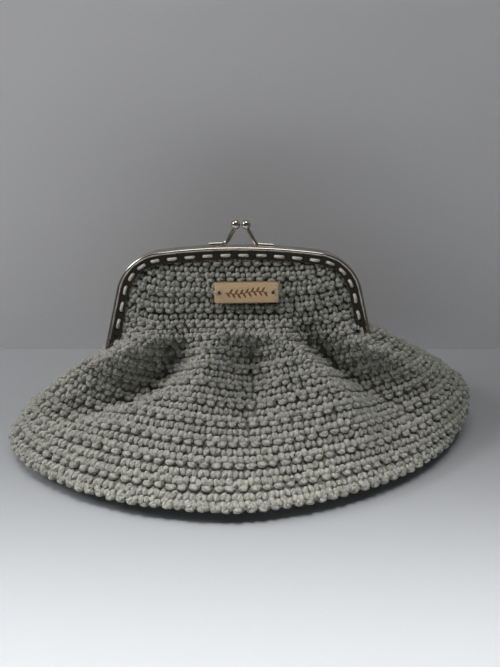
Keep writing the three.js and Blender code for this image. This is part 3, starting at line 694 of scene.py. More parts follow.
def backing_wall():
    """Cloth behind the stitches: one skin from the middle of the base out to the hem, up the
    outside, over the mouth and down the inside, closed at both middles."""
    angle = np.linspace(-180, 180, WALL_COLUMNS, endpoint=False)
    depth = np.interp(WALL_LEVELS, CLOTH_LEVELS, CLOTH_DEPTHS)
    outer = [tuck(pouch(angle, z, d)) for z, d in zip(WALL_LEVELS, depth)]
    inner = [tuck(pouch(angle, z, LINING_DEPTH)) for z in WALL_LEVELS[::-1] if z > LINING_LOW]
    sole = [base_point(angle, share) + SOLE_LIFT for share in SOLE_SHARES]
    insole = [base_point(angle, share) + INSOLE_LIFT for share in INSOLE_SHARES]
    rings = np.stack(sole + outer + inner + insole)
    points = rings.reshape(-1, 3)
    points = np.concatenate([points, rings[:1].mean(1), rings[-1:].mean(1)])
    cols = len(angle)
    faces = grid_faces(len(rings), cols, True)
    k = np.arange(cols)
    n = (k + 1) % cols
    last = (len(rings) - 1) * cols
    low = np.stack([np.full(cols, len(points) - 2), n, k], -1)
    high = np.stack([np.full(cols, len(points) - 1), last + k, last + n], -1)
    return press_under_tag(points), [faces, low, high]


def quads_to_mesh(quads):
    """Points and faces from quads given by their corners, with equal corners made one point."""
    flat = np.round(quads.reshape(-1, 3), 4)
    points, index = np.unique(flat, axis=0, return_inverse=True)
    return points, index.reshape(-1, 4)


def swept_quads(stations, profile):
    """Quads of a profile of (inset, depth) carried along the stations of the arch."""
    d, c = np.meshgrid(stations, np.arange(len(profile)), indexing="ij")
    grid = np.concatenate([d[..., None], profile[c]], -1)
    corners = [grid[:-1, :-1], grid[:-1, 1:], grid[1:, 1:], grid[1:, :-1]]
    return np.stack(corners, 2).reshape(-1, 4, 3)


def hole_quads():
    """Quads of the strip of flange with the sew holes: each cell's straight border is drawn in to
    a circle on the face and on the back, and a short wall joins the two circles."""
    low, high = HOLE_BAND
    across = np.linspace(-0.5, 0.5, HOLE_ACROSS + 1)[:-1] * HOLE_PITCH
    up = np.linspace(low, high, HOLE_UP + 1)[:-1]
    border = np.concatenate([
        np.stack([across, np.full(HOLE_ACROSS, low)], -1),
        np.stack([np.full(HOLE_UP, HOLE_PITCH / 2), up], -1),
        np.stack([-across, np.full(HOLE_ACROSS, high)], -1),
        np.stack([np.full(HOLE_UP, -HOLE_PITCH / 2), low + high - up], -1)])
    turn = np.arctan2(border[:, 1] - HOLE_INSET, border[:, 0])
    circle = np.stack([HOLE_RADIUS * np.cos(turn), HOLE_INSET + HOLE_RADIUS * np.sin(turn)], -1)

    def at(curve, depth):
        """A closed curve at a depth, and the same curve moved on by one point."""
        place = np.concatenate([curve, np.full((len(curve), 1), depth)], 1)
        return place, np.roll(place, -1, axis=0)

    (a, a2), (b, b2) = at(border, FLANGE_FACE), at(circle, FLANGE_FACE)
    (e, e2), (f, f2) = at(border, FLANGE_DEPTH), at(circle, FLANGE_DEPTH)
    cell = np.concatenate([np.stack([a, b, b2, a2], 1), np.stack([e, e2, f2, f], 1),
                           np.stack([b2, b, f, f2], 1)])
    middle = np.arange(-HOLE_COUNT, HOLE_COUNT + 1) * HOLE_PITCH
    shift = np.stack([middle, 0 * middle, 0 * middle], -1)
    return (cell[None] + shift[:, None, None, :]).reshape(-1, 4, 3)


def frame_arch():
    """One half of the arch: rim and edge carried along it, the holed strip between them, plain
    strips at the leg ends, and a cap on each end. Returns points (distance, inset, depth), quads
    and the two caps."""
    low, high = HOLE_BAND
    holed = (HOLE_COUNT + 0.5) * HOLE_PITCH
    inner = np.linspace(-holed, holed, HOLE_ACROSS * (2 * HOLE_COUNT + 1) + 1)
    tail = np.linspace(holed, HALF_LENGTH, TAIL_POINTS)
    stations = np.concatenate([-tail[::-1][:-1], inner, tail[1:]])
    rim = np.concatenate([CHANNEL, RIM, [[low, FLANGE_FACE]]])
    steps = np.linspace(low, high, HOLE_UP + 1)
    face = np.stack([steps, np.full_like(steps, FLANGE_FACE)], -1)
    back = np.stack([steps[::-1], np.full_like(steps, FLANGE_DEPTH)], -1)
    quads = [swept_quads(stations, rim), swept_quads(stations, EDGE), hole_quads()]
    for ends in (-tail[::-1], tail):
        quads += [swept_quads(ends, face), swept_quads(ends, back)]
    points, faces = quads_to_mesh(np.concatenate(quads))
    outline = np.concatenate([rim[:-1], face[:-1], EDGE[:-1], back[:-1]])
    caps = []
    for d, order in ((-HALF_LENGTH, outline[::-1]), (HALF_LENGTH, outline)):
        loop = np.round(np.concatenate([np.full((len(order), 1), d), order], 1), 4)
        match = np.abs(points[None] - loop[:, None]).max(-1).argmin(1)
        caps.append(match[None])
    return points, faces, caps


def ball(centre, radius, rings=16, sides=24):
    """Round ball: rings between two poles."""
    up = np.linspace(0, np.pi, rings + 1)[1:-1]
    turn = np.linspace(0, 2 * np.pi, sides, endpoint=False)
    level = np.sin(up)[:, None]
    grid = np.stack(np.broadcast_arrays(level * np.cos(turn), level * np.sin(turn),
                                        np.cos(up)[:, None] + 0 * turn), -1)
    points = np.concatenate([grid.reshape(-1, 3), [[0, 0, 1], [0, 0, -1]]]) * radius + centre
    quads = grid_faces(rings - 1, sides, True)[:, ::-1]
    k = np.arange(sides)
    n = (k + 1) % sides
    last = (rings - 2) * sides
    top = np.stack([np.full(sides, len(points) - 2), k, n], -1)
    low = np.stack([np.full(sides, len(points) - 1), last + n, last + k], -1)
    return points, quads, np.concatenate([top, low])


def ear_shapes(front, hand):
    """Hinge ear at a leg end: a flat ring round the pin, and the plate that joins it to the leg.
    Points are (distance, inset, depth)."""
    name = "front" if front else "back"
    inset = EAR_INSET[name]
    turn = np.linspace(0, 2 * np.pi, EAR_SIDES, endpoint=False)
    section = np.array([[EAR_HOLE, inset], [EAR_RADIUS, inset], [EAR_RADIUS, inset + EAR_THICK],
                        [EAR_HOLE, inset + EAR_THICK]])
    hinge = HALF_LENGTH + HINGE_DROP
    r, t = section[None, :, 0], turn[:, None]
    ring = np.stack(np.broadcast_arrays(hand * (hinge + r * np.cos(t)), section[None, :, 1],
                                        r * np.sin(t)), -1)
    size = len(section)
    k = np.arange(EAR_SIDES)[:, None] * size
    n = (k + size) % (EAR_SIDES * size)
    c = np.arange(size)[None, :]
    d = (c + 1) % size
    faces = np.stack([k + c, k + d, n + d, n + c], -1).reshape(-1, 4)
    corner = np.array([[i, j, m] for i in (0, 1) for j in (0, 1) for m in (0, 1)], float)
    near = np.array([hinge - HINGE_DROP - EAR_ROOT, inset + EAR_TRIM, EAR_PLATE_DEPTH])
    far = np.array([hinge - EAR_HOLE - EAR_HOLE_CLEAR, inset + EAR_THICK - EAR_TRIM,
                    EAR_ROOT_DEPTH[name]])
    plate = near + corner * (far - near)
    plate[:, 0] *= hand
    tip = corner[:, 0] > 0
    plate[tip, 2] = np.minimum(plate[tip, 2], EAR_RADIUS * EAR_TIP_SHARE)
    box = np.array([[0, 1, 3, 2], [4, 6, 7, 5], [0, 4, 5, 1], [2, 3, 7, 6], [0, 2, 6, 4],
                    [1, 5, 7, 3]])
    return (ring.reshape(-1, 3), faces), (plate, box)


def turned_out(points, faces):
    """Faces in the order that makes a closed shape's volume positive."""
    volume = 0.0
    for f in faces:
        p = points[f]
        for k in range(1, f.shape[1] - 1):
            volume += np.sum(np.cross(p[:, 0], p[:, k]) * p[:, k + 1])
    return faces if volume > 0 else [f[:, ::-1] for f in faces]


def frame_half(front):
    """Half of the metal frame: the arch with its sew holes, the rod along its top bent up to a
    ball, and the two hinge ears. Returns points, faces and a tone of 1 on the flange, where the
    nickel takes a painted dark reflection, 0 elsewhere."""
    side = 1.0 if front else -1.0
    shapes = []

    def on_arch(p):
        """Points of (distance, inset, depth) set on this half's side of the arch."""
        return from_frame(arch_place(p[:, 0], p[:, 1], side * p[:, 2]))

    points, faces, caps = frame_arch()
    inside_rim = points[:, 1] > RIM[-1, 0] - FLANGE_SLACK
    flange = inside_rim & (points[:, 2] > FLANGE_DEPTH - FLANGE_SLACK)
    shapes.append((on_arch(points), [faces] + caps))
    for hand in (-1, 1):
        for p, f in ear_shapes(front, hand):
            shapes.append((on_arch(p), [f]))
    bend = np.clip(np.arange(len(ROD_PATH)) / (len(ROD_PATH) - 2), 0, 1)
    depth = LOCK_DEPTH + (BALL_DEPTH - LOCK_DEPTH) * bend ** 2
    path = np.stack([LOCK_X + side * ROD_PATH[:, 0], side * depth, -ROD_PATH[:, 1]], -1)
    p, _, f = strands(from_frame(path)[None], ROD_RADIUS, FACING[None], ROD_RINGS, ROD_SIDES)
    shapes.append((p, [f]))
    p, quads, poles = ball(from_frame(path[-1]), BALL_RADIUS)
    shapes.append((p, [quads, poles]))
    all_points, all_faces, shift = [], [], 0
    for p, fs in shapes:
        all_points.append(p)
        all_faces += [f + shift for f in turned_out(p, fs)]
        shift += len(p)
    # The tone marks the flange, where the nickel takes its painted dark reflection.
    tone = np.zeros(shift)
    tone[:len(flange)] = flange
    return np.concatenate(all_points), all_faces, tone


def sewing_thread(front):
    """Running stitch: over every second gap between sew holes a thread rises out of one hole, lies
    on the flange and goes down the next."""
    side = 1.0 if front else -1.0
    gap = np.arange(-HOLE_COUNT + 1, HOLE_COUNT, 2) * 1.0
    d = (gap[:, None] + THREAD_SHARES) * HOLE_PITCH
    inset = HOLE_INSET + RNG.normal(0, THREAD_WANDER, (len(gap), 1)) + 0 * d
    place = arch_place(d, inset, side * (THREAD_DEPTHS + 0 * d))
    facing = np.broadcast_to(side * FACING, (len(gap), 3))
    rings = len(THREAD_TAPER)
    points, uv, faces = strands(from_frame(place), THREAD_RADIUS * THREAD_TAPER[None], facing,
                                rings, THREAD_SIDES, THREAD_FLAT)
    return points, uv, faces, np.repeat(RNG.uniform(0, 1, len(gap)), rings * THREAD_SIDES)


def tag_place(u, v, w):
    """From the tag's own axes, along it, up it and out of its face, to the pouch's."""
    u, v, w = np.broadcast_arrays(np.asarray(u, float), v, w)
    return TAG_ORIGIN + u[..., None] * TAG_ACROSS + v[..., None] * TAG_UP + w[..., None] * TAG_OUT


def tag_border(trim):
    """Right half of the tag's outline, drawn in by trim: bottom, round corner, end, round corner
    and top, then the line back down the middle."""
    x, y = TAG_SIZE[0] / 2 - trim, TAG_SIZE[1] / 2 - trim
    r = TAG_CORNER - trim
    t = np.linspace(0, np.pi / 2, TAG_CORNER_POINTS)
    run = np.linspace(0, x - r, TAG_LONG_STEPS + 1)[:-1]
    low = np.stack([run, np.full_like(run, -y)], -1)
    corner = np.stack([x - r + r * np.sin(t), -y + r - r * np.cos(t)], -1)
    rise = np.linspace(-y + r, y - r, TAG_END_STEPS + 1)[1:-1]
    end = np.stack([np.full_like(rise, x), rise], -1)
    half = np.concatenate([low, corner, end, corner[::-1] * [1, -1], low[::-1] * [1, -1]])
    fall = np.linspace(y, -y, TAG_END_STEPS + 1)[1:-1]
    middle = np.stack([np.zeros_like(fall), fall], -1)
    return np.concatenate([half, middle]), len(half)


def tag_board():
    """Thin board with round corners and eased edges, a hole near each end: each half's outline is
    drawn in to its hole on the face and on the back, and rings of outline make the edge."""

    def raised(curve, height):
        """A curve at a height above the tag's back."""
        return np.concatenate([curve, np.full((len(curve), 1), height)], 1)

    def strip(a, b):
        """Quads between two closed curves."""
        return np.stack([a, np.roll(a, -1, axis=0), np.roll(b, -1, axis=0), b], 1)

    loops = [raised(tag_border(trim)[0], height) for trim, height in TAG_EDGE]
    count = tag_border(0)[1]
    turn = np.arctan2(loops[-1][:, 1], loops[-1][:, 0] - TAG_HOLE_X)
    hole = np.stack([TAG_HOLE_X + TAG_HOLE_RADIUS * np.cos(turn), TAG_HOLE_RADIUS * np.sin(turn)], -1)
    top, low = raised(hole, TAG_FACE), raised(hole, 0.0)
    right = [strip(loops[-1], top), strip(top, low), strip(low, loops[0])]
    right += [strip(a, b)[:count - 1] for a, b in zip(loops[:-1], loops[1:])]
    right = np.concatenate(right)
    left = right[:, ::-1] * np.array([-1.0, 1, 1])
    points, faces = quads_to_mesh(np.concatenate([right, left]))
    return tag_place(points[:, 0], points[:, 1], points[:, 2]), faces, points[:, :2]


def tag_ornament():
    """Burnt ornament: a gently waving stem along the tag with leaves to either side in turn,
    standing a hair proud."""

    def stem_rise(u):
        """The stem's wave: a sine of the distance along the tag."""
        return STEM_WAVE * np.sin(u * np.pi / STEM_HALF_WAVE)

    u = np.linspace(-STEM_HALF, STEM_HALF, STEM_POINTS)
    stem = tag_place(u, stem_rise(u), TAG_FACE)[None]
    drawn = [strands(stem, STEM_RADIUS, TAG_OUT[None], STEM_RINGS, SIDES, STEM_FLAT)]
    root = np.linspace(*LEAF_ROOTS, LEAF_COUNT)[:, None]
    side = np.where(np.arange(LEAF_COUNT) % 2, 1.0, -1.0)[:, None]
    share = np.linspace(0, 1, LEAF_POINTS)[None, :]
    leaf = tag_place(root + LEAF_ALONG * share ** LEAF_BEND[0],
                     stem_rise(root) + side * LEAF_UP * share ** LEAF_BEND[1], TAG_FACE)
    size = LEAF_RADIUS * np.sin(np.linspace(*LEAF_TAPER, LEAF_RINGS) * np.pi)
    facing = np.broadcast_to(TAG_OUT, (LEAF_COUNT, 3))
    drawn.append(strands(leaf, size, facing, LEAF_RINGS, SIDES, LEAF_FLAT))
    return join([(p, uv, f, np.full(len(p), 0.5)) for p, uv, f in drawn])


def tag_thread():
    """Two thin threads out of each of the tag's holes, over its end and into the crochet."""
    u = TAG_THREAD_OUT
    fan = TAG_THREAD_FAN[0] + u / TAG_THREAD_FAN[1]
    control = np.stack([tag_place(hand * (TAG_HOLE_X + u), v * fan, TAG_THREAD_HEIGHT)
                        for hand in (-1.0, 1.0) for v in TAG_THREAD_SPREAD])
    count = len(control)
    points, uv, faces = strands(control, TAG_THREAD_RADIUS, np.broadcast_to(TAG_OUT, (count, 3)),
                                TAG_THREAD_RINGS, TAG_THREAD_SIDES)
    tone = np.repeat(np.linspace(0, 1, count), TAG_THREAD_RINGS * TAG_THREAD_SIDES)
    return points, uv, faces, tone


# Finishes. Colours are linear, and a pair runs from dark to light.
SAGE = ((0.2, 0.199, 0.169), (0.43, 0.427, 0.369))
CREAM = ((0.5, 0.465, 0.38), (0.82, 0.78, 0.66))
YARN_ROUGHNESS = 0.92
YARN_SHEEN = 0.25
YARN_SHEEN_ROUGHNESS = 0.6
YARN_SPECULAR = 0.25
TWIST_SHARE = 0.85
STITCH_SHARE = 0.3
TWIST_HEIGHT = 0.00035
FIBRE_SCALE = 1250.0
FIBRE_DETAIL = 3
FIBRE_HEIGHT = 0.7
SPECK_RANGE = (0.4, 0.6)
# The crown's weight in the colour paints shade into the grooves between plies; the speck's is fibre
# mottle.
CROWN_PAINTED_SHADE = 0.45
SPECK_SHADE = 0.55
# Cloth behind the stitches: the yarn's colour darkened as painted shade for the gaps between
# stitches.
PAINTED_SHADE_TONES = ((0.09, 0.089, 0.076), (0.24, 0.237, 0.204))
SHADE_ROUGHNESS = 0.95
SHADE_SCALE = 420.0
SHADE_HEIGHT = 0.0006
# Both nickel tones are darker than bare metal, the flange's most: painted reflection of dark
# surroundings.
FLANGE_PAINTED_REFLECTION = (0.17, 0.155, 0.13)
BRIGHT_NICKEL = (0.5, 0.465, 0.41)
NICKEL_ROUGHNESS = (0.10, 0.26)
MARK_SCALE = 300
MARK_DETAIL = 4
BIRCH_GRAIN = ((0.56, 0.385, 0.21), (0.86, 0.64, 0.39))
BIRCH_ROUGHNESS = 0.6
GRAIN_STRETCH = (0.12, 1.6, 1)
GRAIN_SCALE = 1.4
GRAIN_DETAIL = 5
BROWNED = (0.15, 0.075, 0.03)
BROWNED_BAND = (0.1, 0.6)
BROWNED_SHARE = 0.75
BURNT_BROWN = ((0.13, 0.05, 0.016), (0.34, 0.15, 0.05))
BURNT_ROUGHNESS = 0.8
BURNT_SCALE = 900.0


def new_material(name, color, roughness, metallic=0.0):
    """A material, with its nodes, their links and its surface shader."""
    material = bpy.data.materials.new(name)
    material.use_nodes = True
    shader = material.node_tree.nodes["Principled BSDF"]
    shader.inputs["Base Color"].default_value = (*color, 1)
    shader.inputs["Roughness"].default_value = roughness
    shader.inputs["Metallic"].default_value = metallic
    return material, material.node_tree.nodes, material.node_tree.links, shader


def math_node(nodes, links, operation, *values):
    """Output of one operation on numbers or on other nodes' outputs."""
    node = nodes.new("ShaderNodeMath")
    node.operation = operation
    for k, value in enumerate(values):
        if isinstance(value, (int, float)):
            node.inputs[k].default_value = value
        else:
            links.new(value, node.inputs[k])
    return node.outputs[0]


def map_range(nodes, links, value, start=(0.0, 1.0), end=(0.0, 1.0), curve="LINEAR"):
    """A value's place between the two numbers of start, carried over to those of end."""
    node = nodes.new("ShaderNodeMapRange")
    node.interpolation_type = curve
    for label, number in zip(("From Min", "From Max", "To Min", "To Max"), (*start, *end)):
        node.inputs[label].default_value = number
    links.new(value, node.inputs["Value"])
    return node.outputs[0]


def color_mix(nodes, links, share, first, second):
    """Colour that goes from the first to the second, each a colour or a node's output."""
    node = nodes.new("ShaderNodeMix")
    node.data_type = "RGBA"
    links.new(share, node.inputs[0])
    for socket, color in ((node.inputs[6], first), (node.inputs[7], second)):
        if isinstance(color, tuple):
            socket.default_value = (*color, 1)
        else:
            links.new(color, socket)
    return node.outputs[2]


def object_noise(nodes, links, detail):
    """Noise node on the piece's own coordinates."""
    where = nodes.new("ShaderNodeTexCoord")
    noise = nodes.new("ShaderNodeTexNoise")
    noise.inputs["Detail"].default_value = detail
    links.new(where.outputs["Object"], noise.inputs["Vector"])
    return noise


def tone_value(nodes):
    """The piece's own tone, from its attribute."""
    tone = nodes.new("ShaderNodeAttribute")
    tone.attribute_name = "tone"
    return tone.outputs["Fac"]


def new_group(name, inputs, outputs):
    """Empty shader node group with named sockets."""
    group = bpy.data.node_groups.new(name, "ShaderNodeTree")
    for label, kind, value in inputs:
        socket = group.interface.new_socket(label, in_out="INPUT", socket_type=kind)
        socket.default_value = value
    for label, kind in outputs:
        group.interface.new_socket(label, in_out="OUTPUT", socket_type=kind)
    return group, group.nodes.new("NodeGroupInput"), group.nodes.new("NodeGroupOutput")


def spun_yarn_group():
    """Twisted plies: a wave on length over pitch plus turn times plies gives each ply's crown;
    fibre noise roughens it. Puts out a height, and a shade whose crown part is painted shade in the
    grooves between plies and whose speck part is fibre mottle."""
    group, enter, leave = new_group(
        "spun yarn",
        [("Plies", "NodeSocketFloat", 4.0), ("Pitch", "NodeSocketFloat", 2.0),
         ("Fibre Scale", "NodeSocketFloat", FIBRE_SCALE)],
        [("Height", "NodeSocketFloat"), ("Painted Shade And Speck", "NodeSocketFloat")])
    nodes, links = group.nodes, group.links
    place = nodes.new("ShaderNodeUVMap")
    place.uv_map = "strand"
    split = nodes.new("ShaderNodeSeparateXYZ")
    links.new(place.outputs[0], split.inputs[0])
    run = math_node(nodes, links, "DIVIDE", split.outputs[0], enter.outputs["Pitch"])
    turn = math_node(nodes, links, "MULTIPLY", split.outputs[1], enter.outputs["Plies"])
    phase = math_node(nodes, links, "MULTIPLY", math_node(nodes, links, "ADD", run, turn), math.pi)
    crown = math_node(nodes, links, "ABSOLUTE", math_node(nodes, links, "SINE", phase))
    fibre = object_noise(nodes, links, FIBRE_DETAIL)
    links.new(enter.outputs["Fibre Scale"], fibre.inputs["Scale"])
    speck = map_range(nodes, links, fibre.outputs["Fac"], SPECK_RANGE)
    rough = math_node(nodes, links, "MULTIPLY", fibre.outputs["Fac"], FIBRE_HEIGHT)
    links.new(math_node(nodes, links, "ADD", crown, rough), leave.inputs["Height"])
    shade = math_node(nodes, links, "ADD",
                      math_node(nodes, links, "MULTIPLY", crown, CROWN_PAINTED_SHADE),
                      math_node(nodes, links, "MULTIPLY", speck, SPECK_SHADE))
    links.new(shade, leave.inputs["Painted Shade And Speck"])
    return group


def mottle_group():
    """Mottling: noise on the piece's own coordinates. Puts out a colour that goes from dark to light
    by the noise, and the noise as a height."""
    group, enter, leave = new_group(
        "mottle",
        [("Scale", "NodeSocketFloat", SHADE_SCALE), ("Dark", "NodeSocketColor", (0, 0, 0, 1)),
         ("Light", "NodeSocketColor", (1, 1, 1, 1))],
        [("Color", "NodeSocketColor"), ("Height", "NodeSocketFloat")])
    nodes, links = group.nodes, group.links
    noise = object_noise(nodes, links, 2)
    links.new(enter.outputs["Scale"], noise.inputs["Scale"])
    color = color_mix(nodes, links, noise.outputs["Fac"], enter.outputs["Dark"],
                      enter.outputs["Light"])
    links.new(color, leave.inputs["Color"])
    links.new(noise.outputs["Fac"], leave.inputs["Height"])
    return group


SPUN_YARN = spun_yarn_group()
MOTTLE = mottle_group()


def raise_surface(nodes, links, shader, height, distance, strength=1.0):
    """Bump of a height on the shader's surface."""
    bump = nodes.new("ShaderNodeBump")
    bump.inputs["Strength"].default_value = strength
    bump.inputs["Distance"].default_value = distance
    links.new(height, bump.inputs["Height"])
    links.new(bump.outputs[0], shader.inputs["Normal"])


def yarn_material(name, colors, plies, pitch, bump):
    """Matte spun yarn: colour between two shades by ply and fibre, with painted shade in the grooves
    between plies, varied from stitch to stitch, with the twist raised by a bump."""
    material, nodes, links, shader = new_material(name, colors[1], YARN_ROUGHNESS)
    shader.inputs["Sheen Weight"].default_value = YARN_SHEEN
    shader.inputs["Sheen Roughness"].default_value = YARN_SHEEN_ROUGHNESS
    shader.inputs["Specular IOR Level"].default_value = YARN_SPECULAR
    twist = nodes.new("ShaderNodeGroup")
    twist.node_tree = SPUN_YARN
    twist.inputs["Plies"].default_value = plies
    twist.inputs["Pitch"].default_value = pitch
    # Colour share: the twist's painted groove shade and fibre speck, plus each stitch's own tone.
    share = math_node(nodes, links, "ADD",
                      math_node(nodes, links, "MULTIPLY", twist.outputs["Painted Shade And Speck"], TWIST_SHARE),
                      math_node(nodes, links, "MULTIPLY", tone_value(nodes), STITCH_SHARE))
    links.new(color_mix(nodes, links, share, *colors), shader.inputs["Base Color"])
    raise_surface(nodes, links, shader, twist.outputs["Height"], TWIST_HEIGHT, bump)
    return material


def mottled_material(name, colors, roughness, scale, height=None):
    """Matte finish mottled between two shades, raised by its noise where a height is given."""
    material, nodes, links, shader = new_material(name, colors[1], roughness)
    mottle = nodes.new("ShaderNodeGroup")
    mottle.node_tree = MOTTLE
    mottle.inputs["Scale"].default_value = scale
    mottle.inputs["Dark"].default_value = (*colors[0], 1)
    mottle.inputs["Light"].default_value = (*colors[1], 1)
    links.new(mottle.outputs["Color"], shader.inputs["Base Color"])
    if height is not None:
        raise_surface(nodes, links, shader, mottle.outputs["Height"], height)
    return material


def nickel_material():
    """Polished nickel with faint handling marks in its roughness, darkened on the flat flange as a
    painted dark reflection, and bright on the rim, the rods, the balls and the ears."""
    material, nodes, links, shader = new_material("polished nickel", BRIGHT_NICKEL,
                                                  NICKEL_ROUGHNESS[0], 1.0)
    marks = object_noise(nodes, links, MARK_DETAIL)
    marks.inputs["Scale"].default_value = MARK_SCALE
    roughness = map_range(nodes, links, marks.outputs["Fac"], end=NICKEL_ROUGHNESS)
    links.new(roughness, shader.inputs["Roughness"])
    # The flange's tone turns it dark: painted reflection.
    color = color_mix(nodes, links, tone_value(nodes), BRIGHT_NICKEL, FLANGE_PAINTED_REFLECTION)
    links.new(color, shader.inputs["Base Color"])
    return material


def birch_material():
    """Pale birch: fine grain along the tag, the edges browned by a band round its outline."""
    material, nodes, links, shader = new_material("birch", BIRCH_GRAIN[1], BIRCH_ROUGHNESS)
    place = nodes.new("ShaderNodeUVMap")
    place.uv_map = "strand"
    stretch = nodes.new("ShaderNodeMapping")
    stretch.inputs["Scale"].default_value = GRAIN_STRETCH
    links.new(place.outputs[0], stretch.inputs["Vector"])
    grain = nodes.new("ShaderNodeTexNoise")
    grain.inputs["Scale"].default_value = GRAIN_SCALE
    grain.inputs["Detail"].default_value = GRAIN_DETAIL
    links.new(stretch.outputs[0], grain.inputs["Vector"])
    wood = color_mix(nodes, links, grain.outputs["Fac"], *BIRCH_GRAIN)
    split = nodes.new("ShaderNodeSeparateXYZ")
    links.new(place.outputs[0], split.inputs[0])
    edge = math_node(nodes, links, "MINIMUM", *(
        math_node(nodes, links, "SUBTRACT", TAG_SIZE[k] / 2,
                  math_node(nodes, links, "ABSOLUTE", split.outputs[k])) for k in (0, 1)))
    browned = map_range(nodes, links, edge, BROWNED_BAND, (BROWNED_SHARE, 0.0), "SMOOTHSTEP")
    links.new(color_mix(nodes, links, browned, wood, BROWNED), shader.inputs["Base Color"])
    return material


SAGE_YARN = yarn_material("sage cotton yarn", SAGE, plies=4, pitch=2.0, bump=0.65)
CREAM_THREAD = yarn_material("cream sewing thread", CREAM, plies=3, pitch=0.9, bump=0.5)
COTTON_IN_PAINTED_SHADE = mottled_material("cotton in painted shade", PAINTED_SHADE_TONES, SHADE_ROUGHNESS, SHADE_SCALE, SHADE_HEIGHT)
NICKEL = nickel_material()
BIRCH = birch_material()
BURNT = mottled_material("burnt line", BURNT_BROWN, BURNT_ROUGHNESS, BURNT_SCALE)

# Pieces.
HALVES = (("front", True), ("back", False))
REST_HEIGHT = 0.05
FRAME_CREASE = math.radians(35)
TAG_CREASE = math.radians(50)


def piece(obj):
    """An object made a piece of the purse, under the root body."""
    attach(obj, "root")
    return obj


def yarn_piece(name, parts):
    """Stitches as one piece, pressed under the frame and the tag and flattened on the table."""
    points, uv, faces, tone = parts
    points = press_under_tag(tuck(points))
    points[:, 2] = np.maximum(points[:, 2], REST_HEIGHT)
    piece(new_mesh(name, points, [faces], SAGE_YARN, uv, tone))


# The cloth behind the stitches is coloured darker, as painted shade in the gaps between stitches.
wall_points, wall_faces = backing_wall()
wall = piece(new_mesh("crochet_wall", wall_points, wall_faces, COTTON_IN_PAINTED_SHADE))
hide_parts("crochet_body")
for side_name, front in HALVES:
    yarn_piece("crochet_skirt_" + side_name, wall_stitches(front, 0, SKIRT_ROWS))
    yarn_piece("crochet_panel_" + side_name, wall_stitches(front, SKIRT_ROWS, ROW_COUNT))
    yarn_piece("crochet_hem_" + side_name, hem_stitches(front))
yarn_piece("crochet_base", base_stitches())

for side_name, front in HALVES:
    points, faces, tone = frame_half(front)
    half = piece(new_mesh("frame_metal_" + side_name, points, faces, NICKEL, None, tone))
    half.data.set_sharp_from_angle(angle=FRAME_CREASE)
    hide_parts("frame_" + side_name)
    points, uv, faces, tone = sewing_thread(front)
    piece(new_mesh("frame_thread_" + side_name, points, [faces], CREAM_THREAD, uv, tone))

points, faces, uv = tag_board()
board = piece(new_mesh("tag_board", points, turned_out(points, [faces]), BIRCH, uv))
board.data.set_sharp_from_angle(angle=TAG_CREASE)
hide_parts("wooden_tag")
points, uv, faces, tone = tag_ornament()
piece(new_mesh("tag_ornament", points, [faces], BURNT, uv, tone))
points, uv, faces, tone = tag_thread()
piece(new_mesh("tag_thread", points, [faces], CREAM_THREAD, uv, tone))

for node in ("hinge_pin_left", "hinge_pin_right"):
    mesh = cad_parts[node].data
    mesh.materials.clear()
    mesh.materials.append(NICKEL)

# Stage, in metres: pale floor, grey wall, soft lights, camera.
FLOOR_COLOR = (0.36, 0.37, 0.383)
FLOOR_ROUGHNESS = 0.7
FLOOR_Z = -0.0002
WALL_COLOR = (0.84, 0.835, 0.845)
WALL_ROUGHNESS = 0.9
WALL_Y = 0.0862
REACH = 2.5
# Lights: name, place, target, width, height, power, and spread in degrees.
LIGHTS = (
    ("front strip", (0, -0.15, 0.6), (0, -0.15, 0), 0.9, 0.08, 0.82, 28),
    ("left", (-0.6, -0.03, 0.55), (0, -0.03, 0.04), 0.35, 0.2, 2.6, 180),
    ("top", (0, -0.02, 0.85), (0, 0, 0.04), 0.5, 0.25, 2.0, 180),
)
ROOM_COLOR = (0.82, 0.84, 0.88, 1)
ROOM_STRENGTH = 0.1
# Camera: focal length and picture height in pixels, place in millimetres in the pouch's axes.
SENSOR = 36
FOCAL_PIXELS = 600
PICTURE_HEIGHT = 667
CAMERA_PLACE = np.array([5.0, -255.5, 193.4])
CAMERA_DOWN = 29


def stage_plane(name, corners, material):
    """One flat square of the stage."""
    mesh = bpy.data.meshes.new(name)
    mesh.from_pydata(corners, [], [(0, 1, 2, 3)])
    mesh.materials.append(material)
    obj = bpy.data.objects.new(name, mesh)
    bpy.context.scene.collection.objects.link(obj)


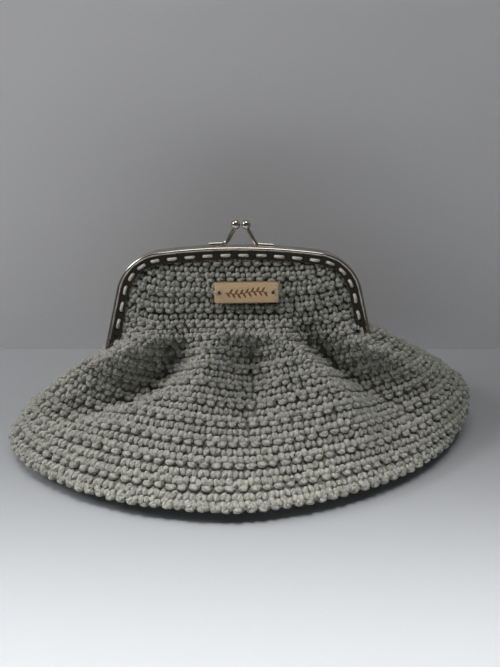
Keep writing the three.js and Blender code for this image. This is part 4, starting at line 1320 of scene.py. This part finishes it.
def one_sided(material):
    """Lets the backdrop be seen only from its front."""
    nodes, links = material.node_tree.nodes, material.node_tree.links
    leave = nodes["Material Output"]
    clear = nodes.new("ShaderNodeBsdfTransparent")
    mix = nodes.new("ShaderNodeMixShader")
    facing = nodes.new("ShaderNodeNewGeometry")
    links.new(facing.outputs["Backfacing"], mix.inputs[0])
    links.new(nodes["Principled BSDF"].outputs[0], mix.inputs[1])
    links.new(clear.outputs[0], mix.inputs[2])
    links.new(mix.outputs[0], leave.inputs["Surface"])


def soft_light(name, place, target, width, height, power, spread):
    """Rectangular light at a place, turned to its target."""
    light = bpy.data.lights.new(name, "AREA")
    light.shape = "RECTANGLE"
    light.energy = power
    light.spread = math.radians(spread)
    light.size = width
    light.size_y = height
    obj = bpy.data.objects.new(name, light)
    bpy.context.scene.collection.objects.link(obj)
    back = np.array(place, float) - np.array(target, float)
    flat = math.hypot(back[0], back[1])
    obj.location = place
    obj.rotation_euler = (math.atan2(flat, back[2]), 0, math.atan2(back[0], -back[1]))


floor_material = new_material("pale floor", FLOOR_COLOR, FLOOR_ROUGHNESS)[0]
wall_material = new_material("grey backdrop", WALL_COLOR, WALL_ROUGHNESS)[0]
one_sided(wall_material)
stage_plane("floor", [(-REACH, -REACH, FLOOR_Z), (REACH, -REACH, FLOOR_Z), (REACH, REACH, FLOOR_Z),
                      (-REACH, REACH, FLOOR_Z)], floor_material)
stage_plane("backdrop", [(-REACH, WALL_Y, FLOOR_Z), (REACH, WALL_Y, FLOOR_Z), (REACH, WALL_Y, REACH),
                         (-REACH, WALL_Y, REACH)], wall_material)
for light in LIGHTS:
    soft_light(*light)
world = bpy.data.worlds.new("studio")
bpy.context.scene.world = world
world.use_nodes = True
world.node_tree.nodes["Background"].inputs[0].default_value = ROOM_COLOR
world.node_tree.nodes["Background"].inputs[1].default_value = ROOM_STRENGTH
bpy.context.scene.view_settings.view_transform = "Standard"

camera_data = bpy.data.cameras.new("camera")
camera_data.sensor_width = SENSOR
camera_data.lens = FOCAL_PIXELS * SENSOR / PICTURE_HEIGHT
camera = bpy.data.objects.new("camera", camera_data)
camera.location = tuple((CAMERA_PLACE - CENTRE) * MM)
camera.rotation_euler = (math.radians(90 - CAMERA_DOWN), 0, 0)
bpy.context.scene.collection.objects.link(camera)
bpy.context.scene.camera = camera
